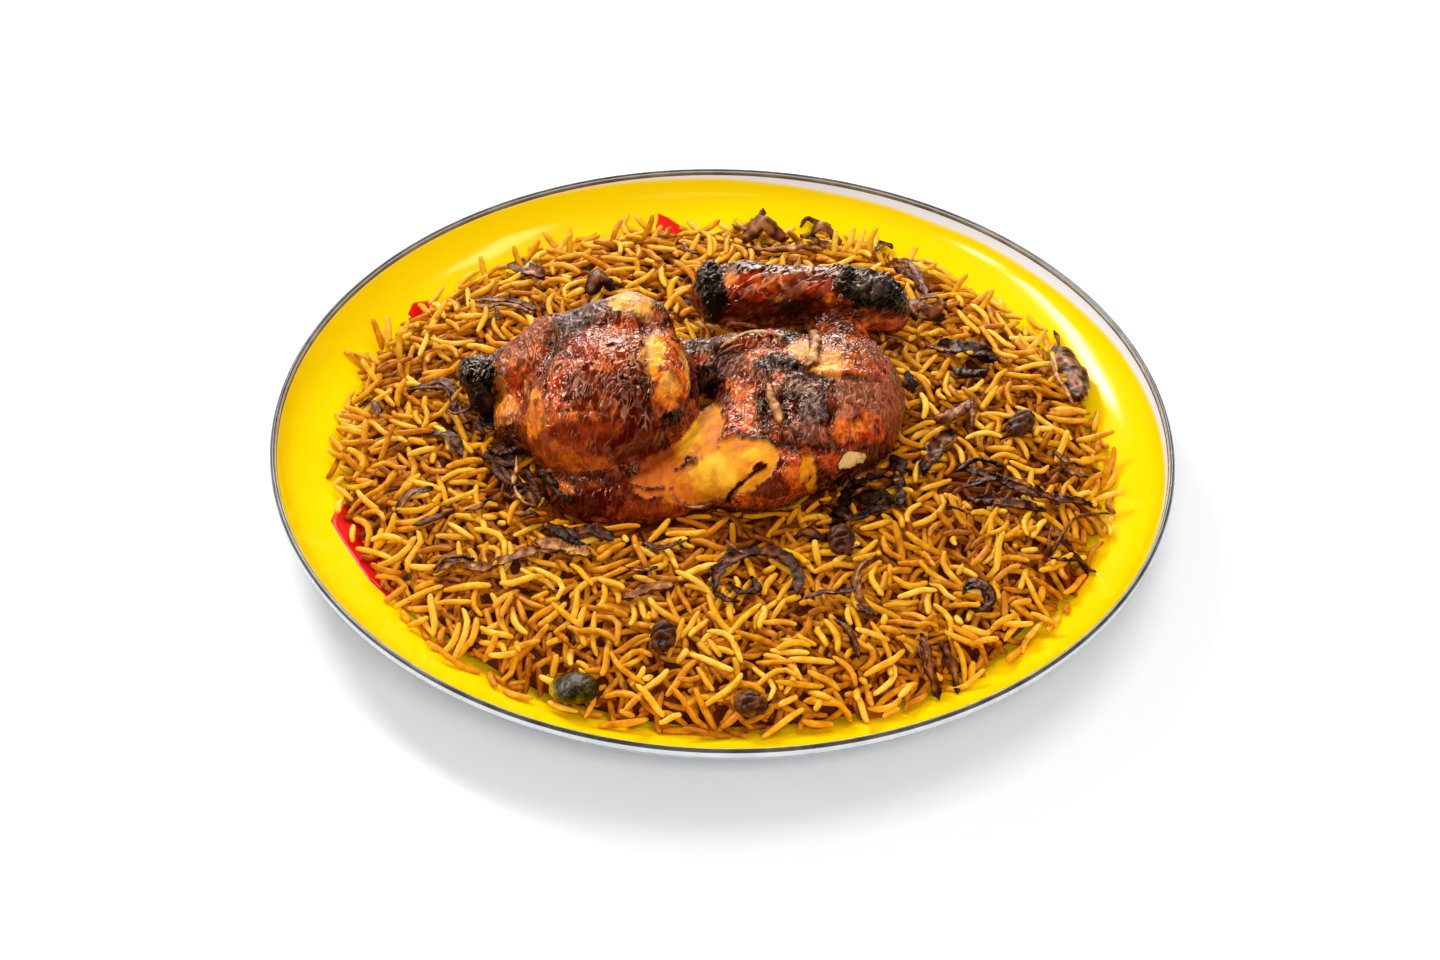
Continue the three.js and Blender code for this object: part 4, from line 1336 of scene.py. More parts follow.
def lay_fringe(chicken):
    """Grains that stick up out of the heap: those listed, and others all over it."""
    COUNT = 150
    EDGE_EVERY = 5
    # How far in from the edge they stand, their rise in degrees, their length and how deep they are set.
    AT_EDGE = ((6, 12), (0, 30), (8, 14), 1.5)
    FARTHER_IN = ((12, 90), (10, 50), (7, 12), 4)
    draw = np.random.default_rng(57)
    t = (GRAIN_STATIONS + 1) / 2
    lines = []
    bases = seen_at(heap_top, [base for base, _ in STANDING])
    depth = -((bases - EYE_PLACE) @ EYE_AXES)[:, 2]
    ways = sight_lines([tip for _, tip in STANDING])
    forward = EYE_AXES[:, 2]
    tips = EYE_PLACE + ways * (depth / -(ways @ forward))[:, None]
    for base, tip in zip(bases, tips):
        bow = np.cross(tip - base, forward) * draw.normal(0, 0.09)
        lines.append(lerp(base - [0, 0, 1], tip, t[:, None]) + (t * (1 - t) * 4)[:, None] * bow)
    for number in range(COUNT):
        at_edge = number % EDGE_EVERY == 0
        back, rises, lengths, sunk = AT_EDGE if at_edge else FARTHER_IN
        angle = draw.uniform(0, 2 * np.pi)
        radius = heap_edge(angle) - draw.uniform(*back)
        base = np.array([radius * np.cos(angle), radius * np.sin(angle)])
        heading = angle + draw.normal(0, 0.8) if at_edge else draw.uniform(0, 2 * np.pi)
        rise = math.radians(draw.uniform(*rises))
        length = draw.uniform(*lengths)
        way = np.array([np.cos(heading) * np.cos(rise), np.sin(heading) * np.cos(rise), np.sin(rise)])
        start = np.array([*base, float(heap_top(*base)) - sunk])
        bow = np.cross(way, [0, 0, 1.0]) * draw.normal(0, 1.2)
        line = start + (t * length)[:, None] * way + (t * (1 - t) * 4)[:, None] * bow
        line[:, 2] = np.maximum(line[:, 2], wall_height(np.hypot(line[:, 0], line[:, 1])) + GRAIN_RADIUS)
        lines.append(line)
    lines = np.array(lines)
    lines = lines[chicken.near(lines).min(1) > GRAIN_RADIUS * 0.7]
    return lines, np.full(len(lines), GRAIN_RADIUS)


def grain_meshes(lines, radii, sides):
    """Points and faces of one blunt, rounded grain along each line."""
    STATIONS = np.array([-0.98, -0.86, -0.45, 0, 0.45, 0.86, 0.98])
    SHARES = np.array([0.42, 0.78, 0.98, 1, 0.94, 0.72, 0.36])
    FLATTEN = 0.9
    t = GRAIN_STATIONS
    count = len(lines)
    middles = np.stack([[np.interp(STATIONS, t, line[:, axis]) for axis in range(3)] for line in lines])
    middles = np.moveaxis(middles, 1, 2)
    along = unit(np.gradient(middles, axis=1))
    across = unit(np.cross(along, [0, 0, 1.0]))
    upward = FLATTEN * np.cross(across, along)
    angle = 2 * np.pi * np.arange(sides) / sides
    girth = (radii[:, None] * SHARES)[:, :, None, None]
    ring = across[:, :, None] * np.cos(angle)[:, None] + upward[:, :, None] * np.sin(angle)[:, None]
    body = middles[:, :, None] + girth * ring
    tips = lines[:, [0, -1]]
    per_grain = len(STATIONS) * sides + 2
    points = np.concatenate([body.reshape(count, -1, 3), tips], 1)
    number = np.arange(len(STATIONS) * sides).reshape(-1, sides)
    quads = band(number[:-1], number[1:])
    caps = np.vstack([fan(per_grain - 2, number[0][::-1]), fan(per_grain - 1, number[-1])])
    shift = (np.arange(count) * per_grain)[:, None, None]
    return points.reshape(-1, 3), (quads + shift).reshape(-1, 4), (caps + shift).reshape(-1, 3), per_grain


def rice_look(name, pale, mid, deep):
    gloss = {"Roughness": 0.36, "Specular IOR Level": 0.14, "Specular Tint": (1, 0.86, 0.54, 1)}
    stops = [(0.15, deep), (0.55, mid), (0.95, pale)]
    return toned_look(name, stops, gloss, (260, 3, 0.5, 1.3), (1100, 2, 0.5, 0.0002, 0.5))


RICE_KINDS = [
    # name, share, and the colours of its pale, common and deep grains
    ("rice_golden", 0.5, (252, 202, 76), (236, 168, 26), (208, 128, 8)),
    ("rice_amber", 0.37, (240, 178, 50), (220, 142, 14), (180, 96, 4)),
    ("rice_brown", 0.13, (222, 146, 42), (188, 110, 12), (134, 62, 2)),
]
# How much darker in tone, as painted shade, the grains are that touch the chicken, and those in the
# pits.
CHICKEN_SHADE = 0.5
BED_PIT_SHADE, GRAIN_PIT_SHADE = 0.8, 0.6
# The bed's grains are painted darker than the loose ones on top: painted shade deep in the heap.
BED_KIND = ("rice_bed", (226, 150, 24), (192, 112, 8), (124, 56, 2))
# Low spots in the rice: x, y, radius and depth.
PITS = [(98, 45, 10, 7), (74, 29, 6, 5), (-90, 14, 9, 5), (-72, -22, 9, 4), (12, -62, 16, 3), (30, 47, 6, 4),
        (100, -20, 18, 6), (-84, -34, 10, 4), (125, -5, 12, 4), (120, 30, 9, 3), (58, -36, 12, 4),
        (-84, -8, 8, 4)]


def add_rice(name, lines, radii, sides, look, tones):
    points, quads, caps, per_grain = grain_meshes(lines, radii, sides)
    piece = make_mesh(name, points, [quads, caps], look, {"tone": np.repeat(tones, per_grain)})
    dress(piece, "spiced_rice", "rice_heap")


def darkening(lines, ground, hollow, pits, chicken):
    """How much deeper in tone the grains are in the pits and where they touch the chicken, as painted shade.
    """
    middle = len(GRAIN_STATIONS) // 2
    in_pits = pits * ground.at(hollow, lines[:, middle, 0], lines[:, middle, 1])
    return in_pits + CHICKEN_SHADE * smooth(9, 2, chicken.near(lines).min(1))


def heap_limit(ground):
    """How high the loose grains may lie at each place of the map, and how deep it is in a pit."""
    LOOSE = 1.4
    UNDER_TOPPING = 0.3
    DEEP = 7
    flat = np.stack([ground.x, ground.y, np.zeros_like(ground.x)], -1).reshape(-1, 3)
    swell = noise(flat, 16).reshape(ground.x.shape) * 3.2 + noise(flat, 7, 5.0).reshape(ground.x.shape) * 2
    limit = ground.top + LOOSE + swell
    hollow = np.zeros_like(limit)
    for x, y, radius, depth in PITS:
        share = smooth(radius, radius * 0.4, np.hypot(ground.x - x, ground.y - y))
        limit -= depth * share
        hollow = np.maximum(hollow, share * depth / DEEP)
    return np.where(topping_map(ground), np.minimum(limit, ground.top + UNDER_TOPPING), limit), hollow


def build_rice(chicken_grid):
    ground = HeightMap()
    limit, hollow = heap_limit(ground)
    bed, bed_radii = lay_bed(ground, chicken_grid)
    heap, heap_radii = lay_rice(ground, limit, chicken_grid)
    fringe, fringe_radii = lay_fringe(chicken_grid)
    lines, radii = np.concatenate([heap, fringe]), np.concatenate([heap_radii, fringe_radii])
    draw = np.random.default_rng(5)
    bed_tones = draw.uniform(0.2, 0.8, len(bed))
    bed_tones -= darkening(bed, ground, hollow, BED_PIT_SHADE, chicken_grid)
    add_rice(BED_KIND[0], bed, bed_radii, 6, rice_look(*BED_KIND), bed_tones)
    shares = np.cumsum([kind[1] for kind in RICE_KINDS])
    which = np.searchsorted(shares, draw.random(len(lines)) * shares[-1])
    tones = draw.uniform(0.3, 0.85, len(lines))
    tones -= darkening(lines, ground, hollow, GRAIN_PIT_SHADE, chicken_grid)
    for i, (name, _, *colours) in enumerate(RICE_KINDS):
        mine = which == i
        add_rice(name, lines[mine], radii[mine], 8, rice_look(name, *colours), tones[mine])
    build_core()


def build_core():
    """The heap below the loose grains, rippled by the grains in it, and painted dark as shade deep in the
    heap.
    """
    RINGS = 72
    SIDES = 240
    CORE_DEPTH = 8.5
    INSET = 9
    ABOVE_WALL = 0.15
    angle = 2 * np.pi * np.arange(SIDES) / SIDES
    edge = heap_edge(angle) - INSET
    share = np.linspace(1, 0.01, RINGS)
    x = share[:, None] * edge * np.cos(angle)
    y = share[:, None] * edge * np.sin(angle)
    wall = wall_height(np.hypot(x, y))
    z = np.maximum(heap_top(x, y) - CORE_DEPTH, wall + 0.5)
    points = np.stack([x, y, z], -1).reshape(-1, 3)
    rippled = smooth(1, 0.93, np.repeat(share, SIDES))
    points[:, 2] += 1.2 * ridges(points * [1, 1, 0], (1, 0.3, 0), 9, 3) * rippled
    low = slice(0, RINGS, 24)
    under = np.stack([x[low], y[low], wall_height(np.hypot(x[low], y[low])) + ABOVE_WALL], -1).reshape(-1, 3)
    poles = np.array([[0, 0, points[-SIDES, 2]], [0, 0, SHEET + ABOVE_WALL]])
    upper = np.arange(len(points)).reshape(-1, SIDES)
    lower = len(points) + np.arange(len(under)).reshape(-1, SIDES)
    top = len(points) + len(under)
    quads = np.vstack([band(upper[:-1], upper[1:]), band(lower[1:], lower[:-1]), band(lower[0], upper[0])])
    caps = [fan(top, upper[-1]), fan(top + 1, lower[-1][::-1])]
    everything = np.vstack([points, under, poles])
    tone = 0.5 + 0.4 * noise(everything, 6)
    look = rice_look("rice_deep_shade", (150, 74, 4), (104, 42, 2), (58, 18, 1))
    core = make_mesh("rice_core", everything, [quads, *caps], look, {"tone": tone})
    dress(core, "spiced_rice", "rice_heap")


# Toppings: shreds and petals of fried onion, raisins and a slice of pepper

ONIONS = [
    # path in x and y, width, thickness, how far its middle arches off the rice, and how pale it is
    ([(-90, 113), (-82, 106), (-74, 98)], 7, 2.5, 0, 0.1),
    ([(-104, 83), (-91, 82), (-83, 79), (-76, 73)], 3.4, 1.6, 0, 0.1),
    ([(-55, 84), (-52, 92), (-45, 90)], 7, 3, 4, -0.1),
    ([(-123, 27), (-112, 28), (-106, 21), (-106, 12)], 3, 1.5, 2, -0.1),
    ([(-144, 26), (-138, 24), (-135, 14)], 3, 1.5, 1, -0.1),
    ([(-113, -1), (-105, -6), (-100, -16)], 4, 2, 2, -0.15),
    ([(-92, -16), (-85, -16), (-80, -23)], 6.5, 2.5, 0, -0.15),
    ([(-124, -42), (-119, -35), (-110, -32)], 3, 1.5, 1.5, 0.1),
    ([(-117, -50), (-108, -47), (-101, -44)], 3, 1.5, 0, 0),
    ([(-81, -40), (-75, -37), (-70, -44)], 4, 1.8, 2, 0),
    ([(-63, -56), (-56, -61), (-49, -59), (-40, -63)], 6, 2.5, 1, -0.1),
    ([(-107, -75), (-98, -71), (-89, -77), (-78, -72), (-65, -68), (-49, -70)], 4.5, 1.8, 1, 0.3),
    ([(-36, -93), (-27, -89), (-17, -86)], 5, 2, 0, 0.4),
    ([(-2, -90), (0, -78), (9, -70), (21, -70), (29, -79), (29, -90)], 5, 2.2, 1, -0.15),
    ([(28, -60), (33, -57), (38, -60)], 4, 2, 0, 0),
    ([(59, -68), (52, -77), (52, -90), (58, -98)], 2.8, 1.6, 2, 0.2),
    ([(91, -81), (96, -77), (101, -83), (99, -90)], 4, 2, 1, -0.1),
    ([(75, -104), (77, -116), (82, -125)], 4, 2, 1.5, 0.1),
    ([(82, -106), (87, -114), (89, -122)], 3.4, 2, 0, 0.1),
    ([(43, -101), (48, -107), (52, -118)], 3, 1.6, 1, 0.1),
    ([(91, -15), (107, -23), (126, -28), (145, -22)], 5, 2, 1, 0),
    ([(97, -33), (110, -34), (124, -35)], 4.5, 2, 0, -0.05),
    ([(128, -42), (130, -50), (140, -55)], 3, 1.6, 1.5, 0),
    ([(77, -22), (81, -9), (89, 4)], 8, 2.5, 0, -0.1),
    ([(82, 11), (89, 14), (98, 24)], 7, 2.2, 1, 0.2),
    ([(72, 76), (77, 82), (88, 77)], 7, 2.5, 2, 0.1),
    ([(6, 128), (14, 134), (25, 131)], 8, 3, 7, 0.2),
    ([(33, 138), (39, 131), (47, 132)], 7, 3, 8, 0.15),
    ([(68, 112), (76, 108), (80, 94)], 5, 2, 1, 0.1),
    ([(84, 54), (94, 57), (107, 50)], 8, 2.5, 0, -0.3),
    ([(133, 77), (138, 61), (141, 38)], 13, 5, 0, 0),
]
# Raisins and the slice of pepper: path in x and y, width and thickness.
RAISINS = [
    ([(-20, -107), (-20, -119)], 8, 6.5),
    ([(45, -55), (46, -68)], 9, 6.5),
    ([(7, -139), (18, -139)], 9, 6),
    ([(112, 5), (120, 19)], 8, 6),
]
PEPPER = ([(-61, -129), (-52, -131), (-43, -134)], 15, 6.5)

# Fine shreds on the rice and on the chicken: a path across and up, width, and how pale it is.
RICE_SHREDS = [
    ([(-106, 28), (-103, 25.5), (-98, 27), (-95, 31)], 1.5, 0.1),
    ([(-121, 35), (-113, 35.5), (-107, 35), (-104.5, 31)], 1.8, 0),
    ([(-99, -12), (-94, -11), (-90, -8), (-86, -8)], 1.6, 0),
    ([(-111, -35), (-107, -31), (-101, -30), (-95, -31)], 2, 0),
    ([(-90, 12), (-84, 10), (-78, 12), (-72, 10)], 2.4, -0.2),
    ([(-79, 9), (-79, 3), (-80, -2), (-77, -8), (-72, -10)], 1.8, 0.5),
    ([(-88, 8), (-86, 2), (-82, -2), (-76, -3)], 3, -0.15),
    ([(-75, 4), (-72, -3), (-70, -9)], 2.5, -0.2),
    ([(-78, -14), (-74, -13), (-70, -14)], 2.2, -0.15),
    ([(-100, 22), (-95, 22), (-91, 17)], 2.4, 0),
    ([(-87, 67), (-86, 62)], 1.3, 0),
    ([(-97, 68), (-90, 67), (-85, 68), (-78, 67), (-73, 64)], 2.4, 0.2),
    ([(-38, -33), (-31, -36), (-24, -34)], 1.8, 0),
    ([(-67, -16), (-62, -20), (-56, -24), (-52, -25)], 4.5, -0.4),
    ([(-72, -24), (-64, -26), (-57, -28), (-50, -29)], 5.5, 0.5),
    ([(-30, -24), (-24, -27), (-17, -25), (-12, -22)], 2.2, -0.1),
    ([(2, -23), (6, -27), (11, -29)], 2, 0.2),
    ([(33, -46), (39, -44), (46, -44), (54, -42)], 2.8, 0),
    ([(52, -44), (53, -37), (56, -32), (60, -30)], 1.8, 0.35),
    ([(53, -48), (56, -51), (60, -52)], 2, -0.1),
    ([(44, -54), (49, -58), (52, -63), (54, -69)], 2.2, 0.25),
    ([(3, -40), (8, -44), (14, -43), (12, -37)], 3.5, -0.35),
    ([(-2, -44), (2, -47), (8, -47)], 2.5, -0.1),
    ([(43, -22), (47, -26), (52, -25), (48, -21)], 4, 0.55),
    ([(42, -9), (47, -14), (52, -16), (58, -13)], 3.5, -0.35),
    ([(38, -8), (44, -10), (50, -8)], 2.2, -0.3),
    ([(-19, -5), (-17, -9), (-12, -11), (-6, -10.5), (-1, -8)], 1.5, 0.5),
    ([(91, 3), (98, 7), (105, 7), (110, 5)], 2.4, -0.35),
    ([(94, -3), (101, -1), (108, 0), (114, -4)], 3, -0.2),
    ([(96, -7), (101, -9), (106, -8)], 3.2, -0.35),
    ([(88, -10), (93, -12), (98, -13)], 1.3, 0.1),
    ([(104, 3), (112, 0), (119, -2), (125, -6)], 2.2, 0),
    ([(97.5, 20), (98, 26), (97.5, 32)], 2.2, 0.1),
    ([(127, -29), (127.5, -24), (128.5, -18)], 1.3, 0.15),
    ([(129, -28), (133, -21), (138, -15), (145, -13.5), (151, -13)], 1.4, 0.15),
    ([(128, -30), (136, -31.5), (141, -33), (146, -35.5)], 1.8, 0),
    ([(94, -45), (97, -41), (103, -42), (105, -47), (101, -51), (96, -49)], 3, -0.15),
    ([(80, 52), (86, 50), (92, 49.5)], 1.8, 0.3),
    ([(90, 43), (97, 41), (104, 42)], 4.5, -0.45),
    ([(98, 48), (104, 49), (107, 46)], 4, -0.45),
    ([(72, 42), (74, 37), (75, 34)], 3.5, -0.4),
    ([(129, 11), (134, 7), (139, 6)], 3, 0.1),
    ([(131, 7), (137, 2), (143, 1)], 2, 0.15),
    ([(78, -62), (80, -69), (78, -77)], 1.5, 0.2),
    ([(129.5, 58), (131, 54), (131.5, 49)], 1.5, 0.2),
    ([(128, 48), (129.5, 42), (133, 36), (137, 29)], 2, 0.4),
    ([(14, 94), (15, 99), (17, 105)], 4, 0.25),
    ([(31, 98), (34, 101), (38, 99), (43, 98.5)], 2.6, 0.1),
    ([(31, 95), (36, 94), (41, 90)], 3, 0.2),
    ([(67, 85), (72, 84), (76, 80), (79, 74), (80, 67)], 3, 0.1),
    ([(40, 89), (33, 90), (26, 89), (18, 89), (10, 90)], 3, 0.3),
    ([(-14, 93), (-13, 89), (-8, 88)], 1.6, 0.3),
    ([(5, 99), (9, 97), (14, 96)], 3, 0.15),
    ([(60, 89), (64, 91), (67, 90)], 2.6, 0.1),
    ([(66, 66), (72, 68), (76, 64), (82, 62)], 2.2, 0.25),
    ([(70, 72), (71, 66), (73, 62)], 2, 0.25),
    ([(76, 70), (84, 70), (88, 66)], 2, 0.1),
]
CHICKEN_SHREDS = [
    ([(33, 62), (36, 58), (37, 52), (36, 47), (34, 43)], 4.6, 0.5),
    ([(0, 50.5), (5, 53.5), (12, 56), (19, 56), (26, 55)], 2, 0.6),
    ([(19, 37), (20, 32), (22, 27), (23.5, 21)], 3.4, 0.5),
    ([(47, -5), (51, -1), (56, 1), (62, 2.5), (69, 0)], 3, 0.35),
    ([(50, -8), (55, -4), (61, -4), (66, -2)], 2.6, 0),
    ([(0, 60), (6, 62), (12, 61), (20, 59)], 2.4, 0.6),
    ([(45.5, 5), (49, 7.5), (52, 9), (56, 8.5)], 6, 1.1),
    ([(-2, 47), (4, 50), (10, 52)], 1.4, 0.1),
    # A dark charred flap under the ankle, which also stands for the shadow there.
    ([(-93, 38), (-91, 31), (-89, 24), (-88, 19)], 7, -0.5),
    ([(-70, 3), (-66, 4), (-61, 4.5)], 1.4, 0.2),
    ([(-66, -2), (-62, -5), (-59, -8)], 2.2, -0.1),
    ([(48, -4), (51, -1.5), (57, 0.5), (63, 2.5), (68, 1), (71, -4)], 5, -0.2),
    ([(49, -3), (48.5, -8), (47, -13), (44, -17)], 5, -0.4),
    ([(52, -7), (57, -8), (62, -6), (66, -8)], 6, -0.35),
    ([(56, -12), (61, -12), (66, -10)], 4.5, -0.3),
    ([(68, 0), (70, -6), (69, -11)], 4, -0.2),
    # A dark shred that stands for the shadow between the chicken and the rice.
    ([(67, 9), (69, 5), (70, 1)], 5, -0.45),
    ([(-86, 12), (-81, 10), (-76, 11)], 4.5, -0.3),
    ([(-85, 5), (-82, 0), (-77, -3), (-72, -5)], 5, -0.25),
    ([(-70, 3), (-66, 0), (-62, -3)], 4, -0.35),
    ([(-66, -9), (-61, -6), (-56, -9)], 3.4, -0.2),
]


def curve_through(path, t):
    """Points of a smooth curve through the path's points, which are evenly spread over t from 0 to 1."""
    path = np.array(path, float)
    ends = np.vstack([2 * path[0] - path[1], path, 2 * path[-1] - path[-2]])
    place = t * (len(path) - 1)
    i = np.minimum(place.astype(int), len(path) - 2)
    u = (place - i)[:, None]
    a, b, c, d = ends[i], ends[i + 1], ends[i + 2], ends[i + 3]
    square, cube = 2 * a - 5 * b + 4 * c - d, 3 * b - a - 3 * c + d
    return 0.5 * (2 * b + (c - a) * u + square * u ** 2 + cube * u ** 3)


def topping_bed(x, y):
    """The height on which toppings lie."""
    return np.maximum(heap_top(x, y), wall_height(np.hypot(x, y))) + TOPPING_GAP


def food_form(points):
    """Distances to the chicken and the rice together."""
    over_rice = 0.6 * (points[:, 2] - topping_bed(points[:, 0], points[:, 1]))
    return np.minimum(chicken_form(points), over_rice)


def topping_map(ground):
    """Where on the map a topping lies."""
    MARGIN = 1.0
    flat = np.stack([ground.x, ground.y], -1).reshape(-1, 2)
    lain = np.zeros(len(flat), bool)
    for path, width, *_ in [*ONIONS, *RAISINS, PEPPER]:
        line = curve_through(path, np.linspace(0, 1, 12))
        lain |= off_line(flat, line) < width / 2 + MARGIN
    return lain.reshape(ground.x.shape)


def sheet_strip(middle, upward, width, thick, curl, draw, pale, across):
    """A closed crinkled strip round a line of middle points. Returns points, quads and a tone for each."""
    count = len(middle)
    along = unit(np.gradient(middle, axis=0))
    side = unit(np.cross(upward, along))
    upward = np.cross(along, side)
    t = np.linspace(0, 1, count)
    phase = draw.uniform(0, 50)
    line = np.stack([t * length_of(middle), np.full(count, phase), np.zeros(count)], 1)
    tilt = 1.5 * noise(line, 9)
    cup = curl * (0.6 + 1.5 * noise(line, 8, 3.0))
    rough = smooth(14, 5, width)
    girth = np.clip(1 + 0.8 * rough * noise(line, 6, 6.0), 0.45, 1.5) * (1 - np.abs(2 * t - 1) ** 4) ** 0.6
    s = np.linspace(-1, 1, across)
    frayed = 1 + 0.5 * rough * noise(line + [0, 0, 9.0], 2.4, 8.0)
    reach = (width / 2 * girth * frayed)[:, None] * s
    height = (cup[:, None] * (s ** 2 - 0.4) + tilt[:, None] * s * 0.5) * width / 2
    points = middle[:, None] + side[:, None] * reach[..., None] + upward[:, None] * height[..., None]
    flat = points.reshape(-1, 3) + phase
    ripple = 0.9 * noise(flat, 3.0) + 0.7 * noise(flat, 1.5, 4.0)
    points += upward[:, None] * ripple.reshape(count, across)[..., None] * min(width / 4, 1)
    half = np.maximum(thick / 2 * (1 - 0.75 * np.abs(s) ** 3), 0.12)
    top = points + upward[:, None] * half[None, :, None]
    base = points - upward[:, None] * half[None, :, None]
    number = np.arange(count * across).reshape(count, across)
    sheet = np.stack([number[:-1, :-1], number[1:, :-1], number[1:, 1:], number[:-1, 1:]], -1).reshape(-1, 4)
    rim = np.concatenate([number[0, :], number[1:, -1], number[-1, -2::-1], number[-2:0:-1, 0]])
    nearer = rim + count * across
    quads = np.vstack([sheet, (sheet + count * across)[:, ::-1], band(rim, nearer)])
    tone = 0.42 - 0.3 * np.abs(s) ** 2 + 0.7 * noise(flat, 3.2, 2.0).reshape(count, across) + 0.8 * pale
    tone -= 0.2 * (np.abs(2 * t - 1) ** 4)[:, None]
    tone += 0.7 * smooth(9, 13, width) * (s ** 6 + noise(flat, 2.4, 5.0).reshape(count, across))
    both = np.concatenate([top.reshape(-1, 3), base.reshape(-1, 3)])
    return both, quads, np.tile(tone.reshape(-1), 2)


def plump_blob(path, width, thick, wrinkle, draw):
    """A closed rounded body along a path on the bed. Returns points, quads and a tone for each."""
    ALONG, ROUND = 40, 36
    t = np.linspace(0.003, 0.997, ALONG)
    line = curve_through(path, t)
    heading = unit(np.gradient(line, axis=0))
    swell = np.sqrt(1 - (2 * t - 1) ** 2)
    angle = 2 * np.pi * np.arange(ROUND) / ROUND
    side = np.cos(angle) * width / 2
    rise = np.maximum(np.sin(angle), -0.55) * thick * 0.62
    x = line[:, 0, None] - heading[:, 1, None] * side * swell[:, None]
    y = line[:, 1, None] + heading[:, 0, None] * side * swell[:, None]
    base = topping_bed(line[:, 0], line[:, 1]) + thick * 0.34
    z = base[:, None] + rise * swell[:, None]
    points = np.stack([x, y, z], -1).reshape(-1, 3)
    shift = draw.uniform(0, 40)
    furrow = ridges(wander(points + shift, 5, 1.2, 0), (1, 0.5, 0), 7, 2.4) - 0.5
    ends = np.repeat(smooth(0, 0.2, swell), ROUND)
    points += unit(points - points.mean(0)) * (wrinkle * furrow * ends)[:, None]
    number = np.arange(ALONG * ROUND).reshape(ALONG, ROUND)
    # Painted shade: the tone is lighter on the ridges and darker in the furrows.
    tone = 0.45 + 0.35 * furrow + 0.4 * noise(points + shift, 4)
    return points, band(number[:-1], number[1:]), tone


ONION_STOPS = [(0.0, (18, 5, 3)), (0.26, (66, 24, 10)), (0.48, (116, 58, 26)), (0.7, (160, 98, 48)),
               (0.86, (190, 132, 66)), (1.0, (214, 172, 104))]
RAISIN_STOPS = [(0.1, (14, 5, 3)), (0.5, (60, 24, 12)), (0.9, (122, 68, 38))]
PEPPER_STOPS = [(0.1, (14, 6, 2)), (0.45, (36, 28, 2)), (0.7, (100, 84, 2)), (0.95, (200, 166, 14))]


TOPPING_GLOSS = {"Roughness": 0.28, "Specular IOR Level": 0.3, "Specular Tint": (1, 0.75, 0.55, 1)}
WET_GLOSS = {**TOPPING_GLOSS, "Roughness": 0.12, "Coat Weight": 0.15, "Coat Roughness": 0.06}


def topping_look(name, stops, grain, gloss):
    return toned_look(name, stops, gloss, (grain, 4, 0.65, 1.0), (900, 4, 0.65, 0.0005, 0.8))


def add_strips(name, strips, look, *replaced):
    points, quads, tones = join(strips)
    dress(make_mesh(name, points, [quads], look, {"tone": tones}), "fried_onion", *replaced)


def build_onions(draw):
    up = np.array([0, 0, 1.0])
    look = topping_look("fried_onion", ONION_STOPS, 320, TOPPING_GLOSS)
    petals = []
    for path, width, thick, lift, pale in ONIONS:
        t = np.linspace(0, 1, max(int(length_of(path) / 0.7), 14))
        line = curve_through(path, t)
        rise = topping_bed(line[:, 0], line[:, 1]) + lift * np.sin(np.pi * t) ** 2 + thick * 0.45
        curl = draw.choice([-0.6, 0.8])
        petals.append(sheet_strip(np.hstack([line, rise[:, None]]), up, width, max(thick * 0.42, 0.7), curl,
                                  draw, pale, max(int(width * 1.8), 7)))
    add_strips("onion_petals", petals, look, *[f"onion_{i + 1}" for i in range(len(ONIONS))])
    shreds = []
    for path, width, pale in RICE_SHREDS:
        t = np.linspace(0, 1, 12 * len(path))
        middle = seen_at(lambda x, y: topping_bed(x, y) + 2, curve_through(path, t))
        middle[:, 2] += 1.2 * noise(middle, 9, width) + 0.8 * np.sin(np.pi * t)
        shreds.append(sheet_strip(middle, up, width, 0.9, draw.choice([-0.6, 0.8]), draw, pale, 7))
    for path, width, pale in CHICKEN_SHREDS:
        t = np.linspace(0, 1, 14 * len(path))
        middle = seen_on(food_form, curve_through(path, t))
        outward = slope_of(food_form, middle)
        middle += outward * (0.9 + 0.7 * np.sin(np.pi * t))[:, None]
        shreds.append(sheet_strip(middle, outward, width, 0.8, draw.choice([-0.4, 0.5]), draw, pale, 7))
    add_strips("onion_shreds", shreds, look)


def build_fruits(draw):
    """The raisins, and the slice of pepper with its pale end."""
    raisin_look = topping_look("raisin_skin", RAISIN_STOPS, 450, TOPPING_GLOSS)
    for i, (path, width, thick) in enumerate(RAISINS):
        points, quads, tones = plump_blob(path, width, thick, 1.9, draw)
        raisin = make_mesh(f"raisin_{i + 1}_wrinkled", points, [quads], raisin_look, {"tone": tones})
        dress(raisin, "raisin", f"raisin_{i + 1}")
    points, quads, tones = plump_blob(*PEPPER, 0.5, draw)
    tones = 0.3 + 0.25 * tones + 0.5 * smooth(-57, -61, points[:, 0])
    pepper_look = topping_look("pepper_skin", PEPPER_STOPS, 240, WET_GLOSS)
    pepper = make_mesh("pepper_glossy", points, [quads], pepper_look, {"tone": tones})
    dress(pepper, "green_pepper", "pepper_slice")


def build_toppings():
    draw = np.random.default_rng(41)
    build_onions(draw)
    build_fruits(draw)


# The floor, lights and camera

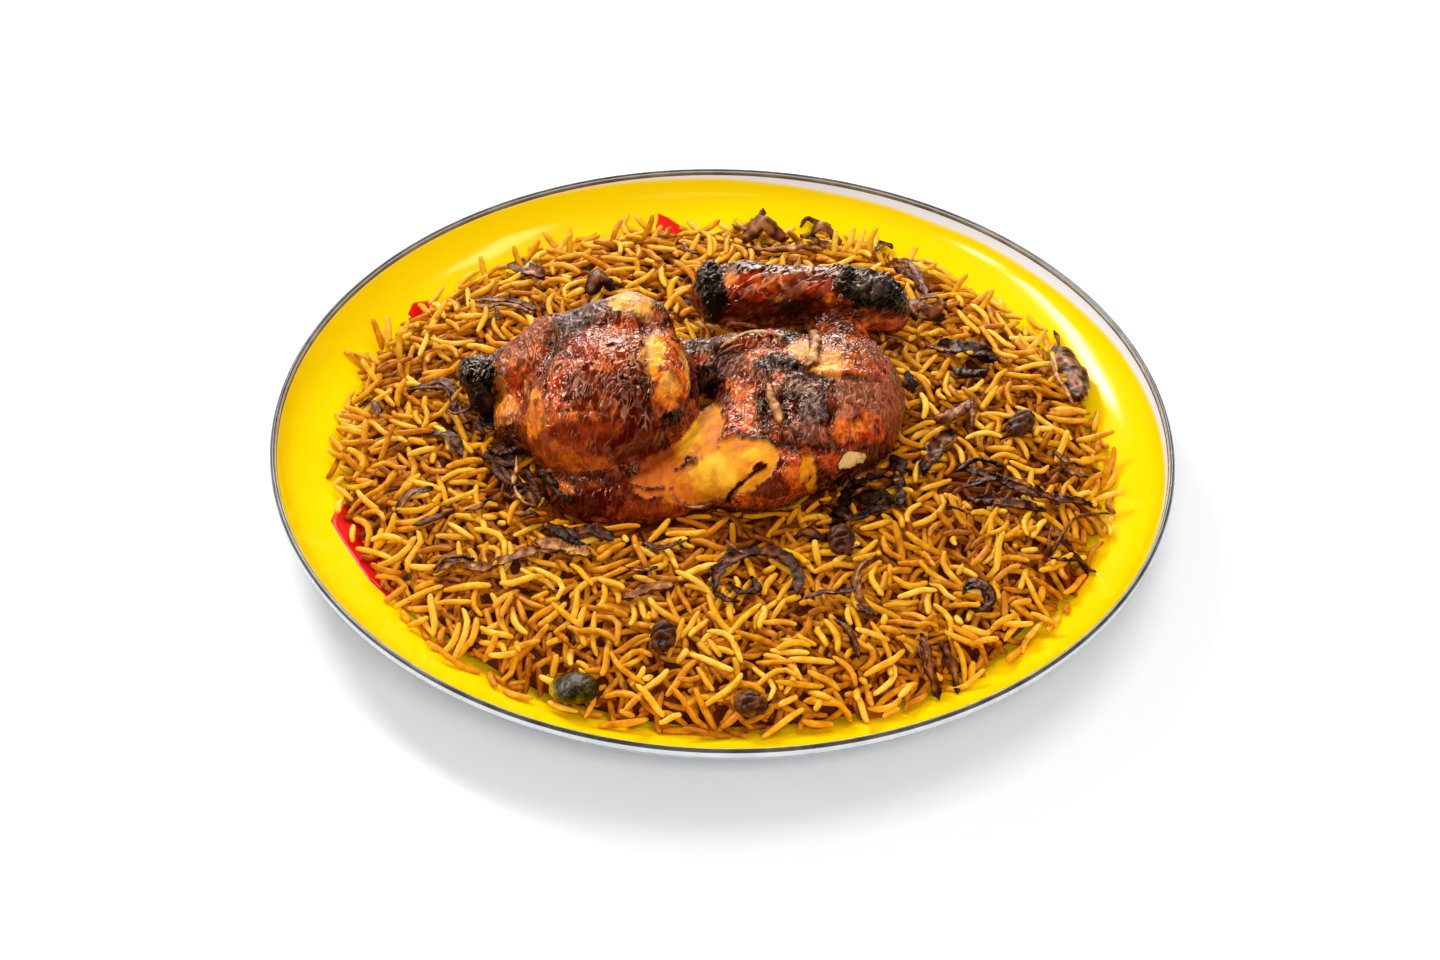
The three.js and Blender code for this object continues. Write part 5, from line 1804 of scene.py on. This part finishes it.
def build_stage():
    HALF = 6000
    BELOW = -0.2
    look = Look("floor_white", {"Roughness": 0.8, "Specular IOR Level": 0.1, "Emission Strength": 0.06,
                                "Emission Color": (1, 1, 1, 1)})
    white = look.finish(Base_Color=look.ramp(look.noise(3, 1), [(0, 0.86), (1, 0.89)]))
    corners = [[x * HALF, y * HALF, BELOW] for x, y in ((-1, -1), (1, -1), (1, 1), (-1, 1))]
    floor = make_mesh("floor", corners, [np.array([[0, 1, 2, 3]])], white)
    world = bpy.data.worlds.new("studio")
    bpy.context.scene.world = world
    world.use_nodes = True
    world.node_tree.nodes["Background"].inputs["Color"].default_value = (1, 1, 1, 1)
    world.node_tree.nodes["Background"].inputs["Strength"].default_value = 0.5
    world.cycles_visibility.glossy = False


# The place in metres that the lights point at.
FOOD = Vector((0, 0, 0.03))


def softbox(name, direction, distance, size, power, gloss=True, fill=True):
    """A rectangular light that gives highlights, fills in the diffuse light, or does both."""
    light = bpy.data.lights.new(name, "AREA")
    light.shape = "RECTANGLE"
    light.size, light.size_y = size
    light.energy = power
    lamp = bpy.data.objects.new(name, light)
    bpy.context.scene.collection.objects.link(lamp)
    lamp.location = Vector(direction).normalized() * distance + FOOD
    lamp.rotation_euler = (FOOD - lamp.location).to_track_quat("-Z", "Y").to_euler()
    lamp.visible_diffuse = fill
    lamp.visible_glossy = gloss


def build_lights():
    softbox("softbox_top", (0.2, 0.15, 1), 1.6, (0.9, 0.6), 8.6, gloss=False)
    softbox("softbox_back_left", (-0.46, 0.55, 0.69), 1.4, (0.45, 0.32), 13, gloss=False)
    softbox("softbox_front", (0.1, -0.8, 0.75), 1.7, (0.8, 0.3), 10.4, gloss=False)
    softbox("window", (-0.69, 0.32, 0.64), 1.6, (1.2, 0.22), 26, fill=False)
    softbox("window_back", (-0.05, 0.88, 0.47), 1.6, (0.68, 1.3), 30, fill=False)
    softbox("window_left", (-0.78, -0.21, 0.59), 1.6, (0.22, 0.14), 4, fill=False)
    softbox("window_right", (0.53, 0.0, 0.85), 1.6, (0.5, 0.3), 3, fill=False)


def build_camera():
    """The camera stands in the eye's place."""
    camera = bpy.data.cameras.new("camera")
    camera.lens = 100
    camera.sensor_width = 36
    eye = bpy.data.objects.new("camera", camera)
    bpy.context.scene.collection.objects.link(eye)
    eye.location = EYE * MM
    eye.rotation_euler = EYE_TURN.to_euler()
    bpy.context.scene.camera = eye


build_camera()
build_stage()
build_lights()
build_plate()
build_prints()
chicken_grid = Grid(chicken_form, CHICKEN_LOW, CHICKEN_HIGH, CHICKEN_STEP)
build_chicken(chicken_grid)
build_rice(chicken_grid)
build_toppings()
bpy.context.scene.view_settings.view_transform = "Standard"
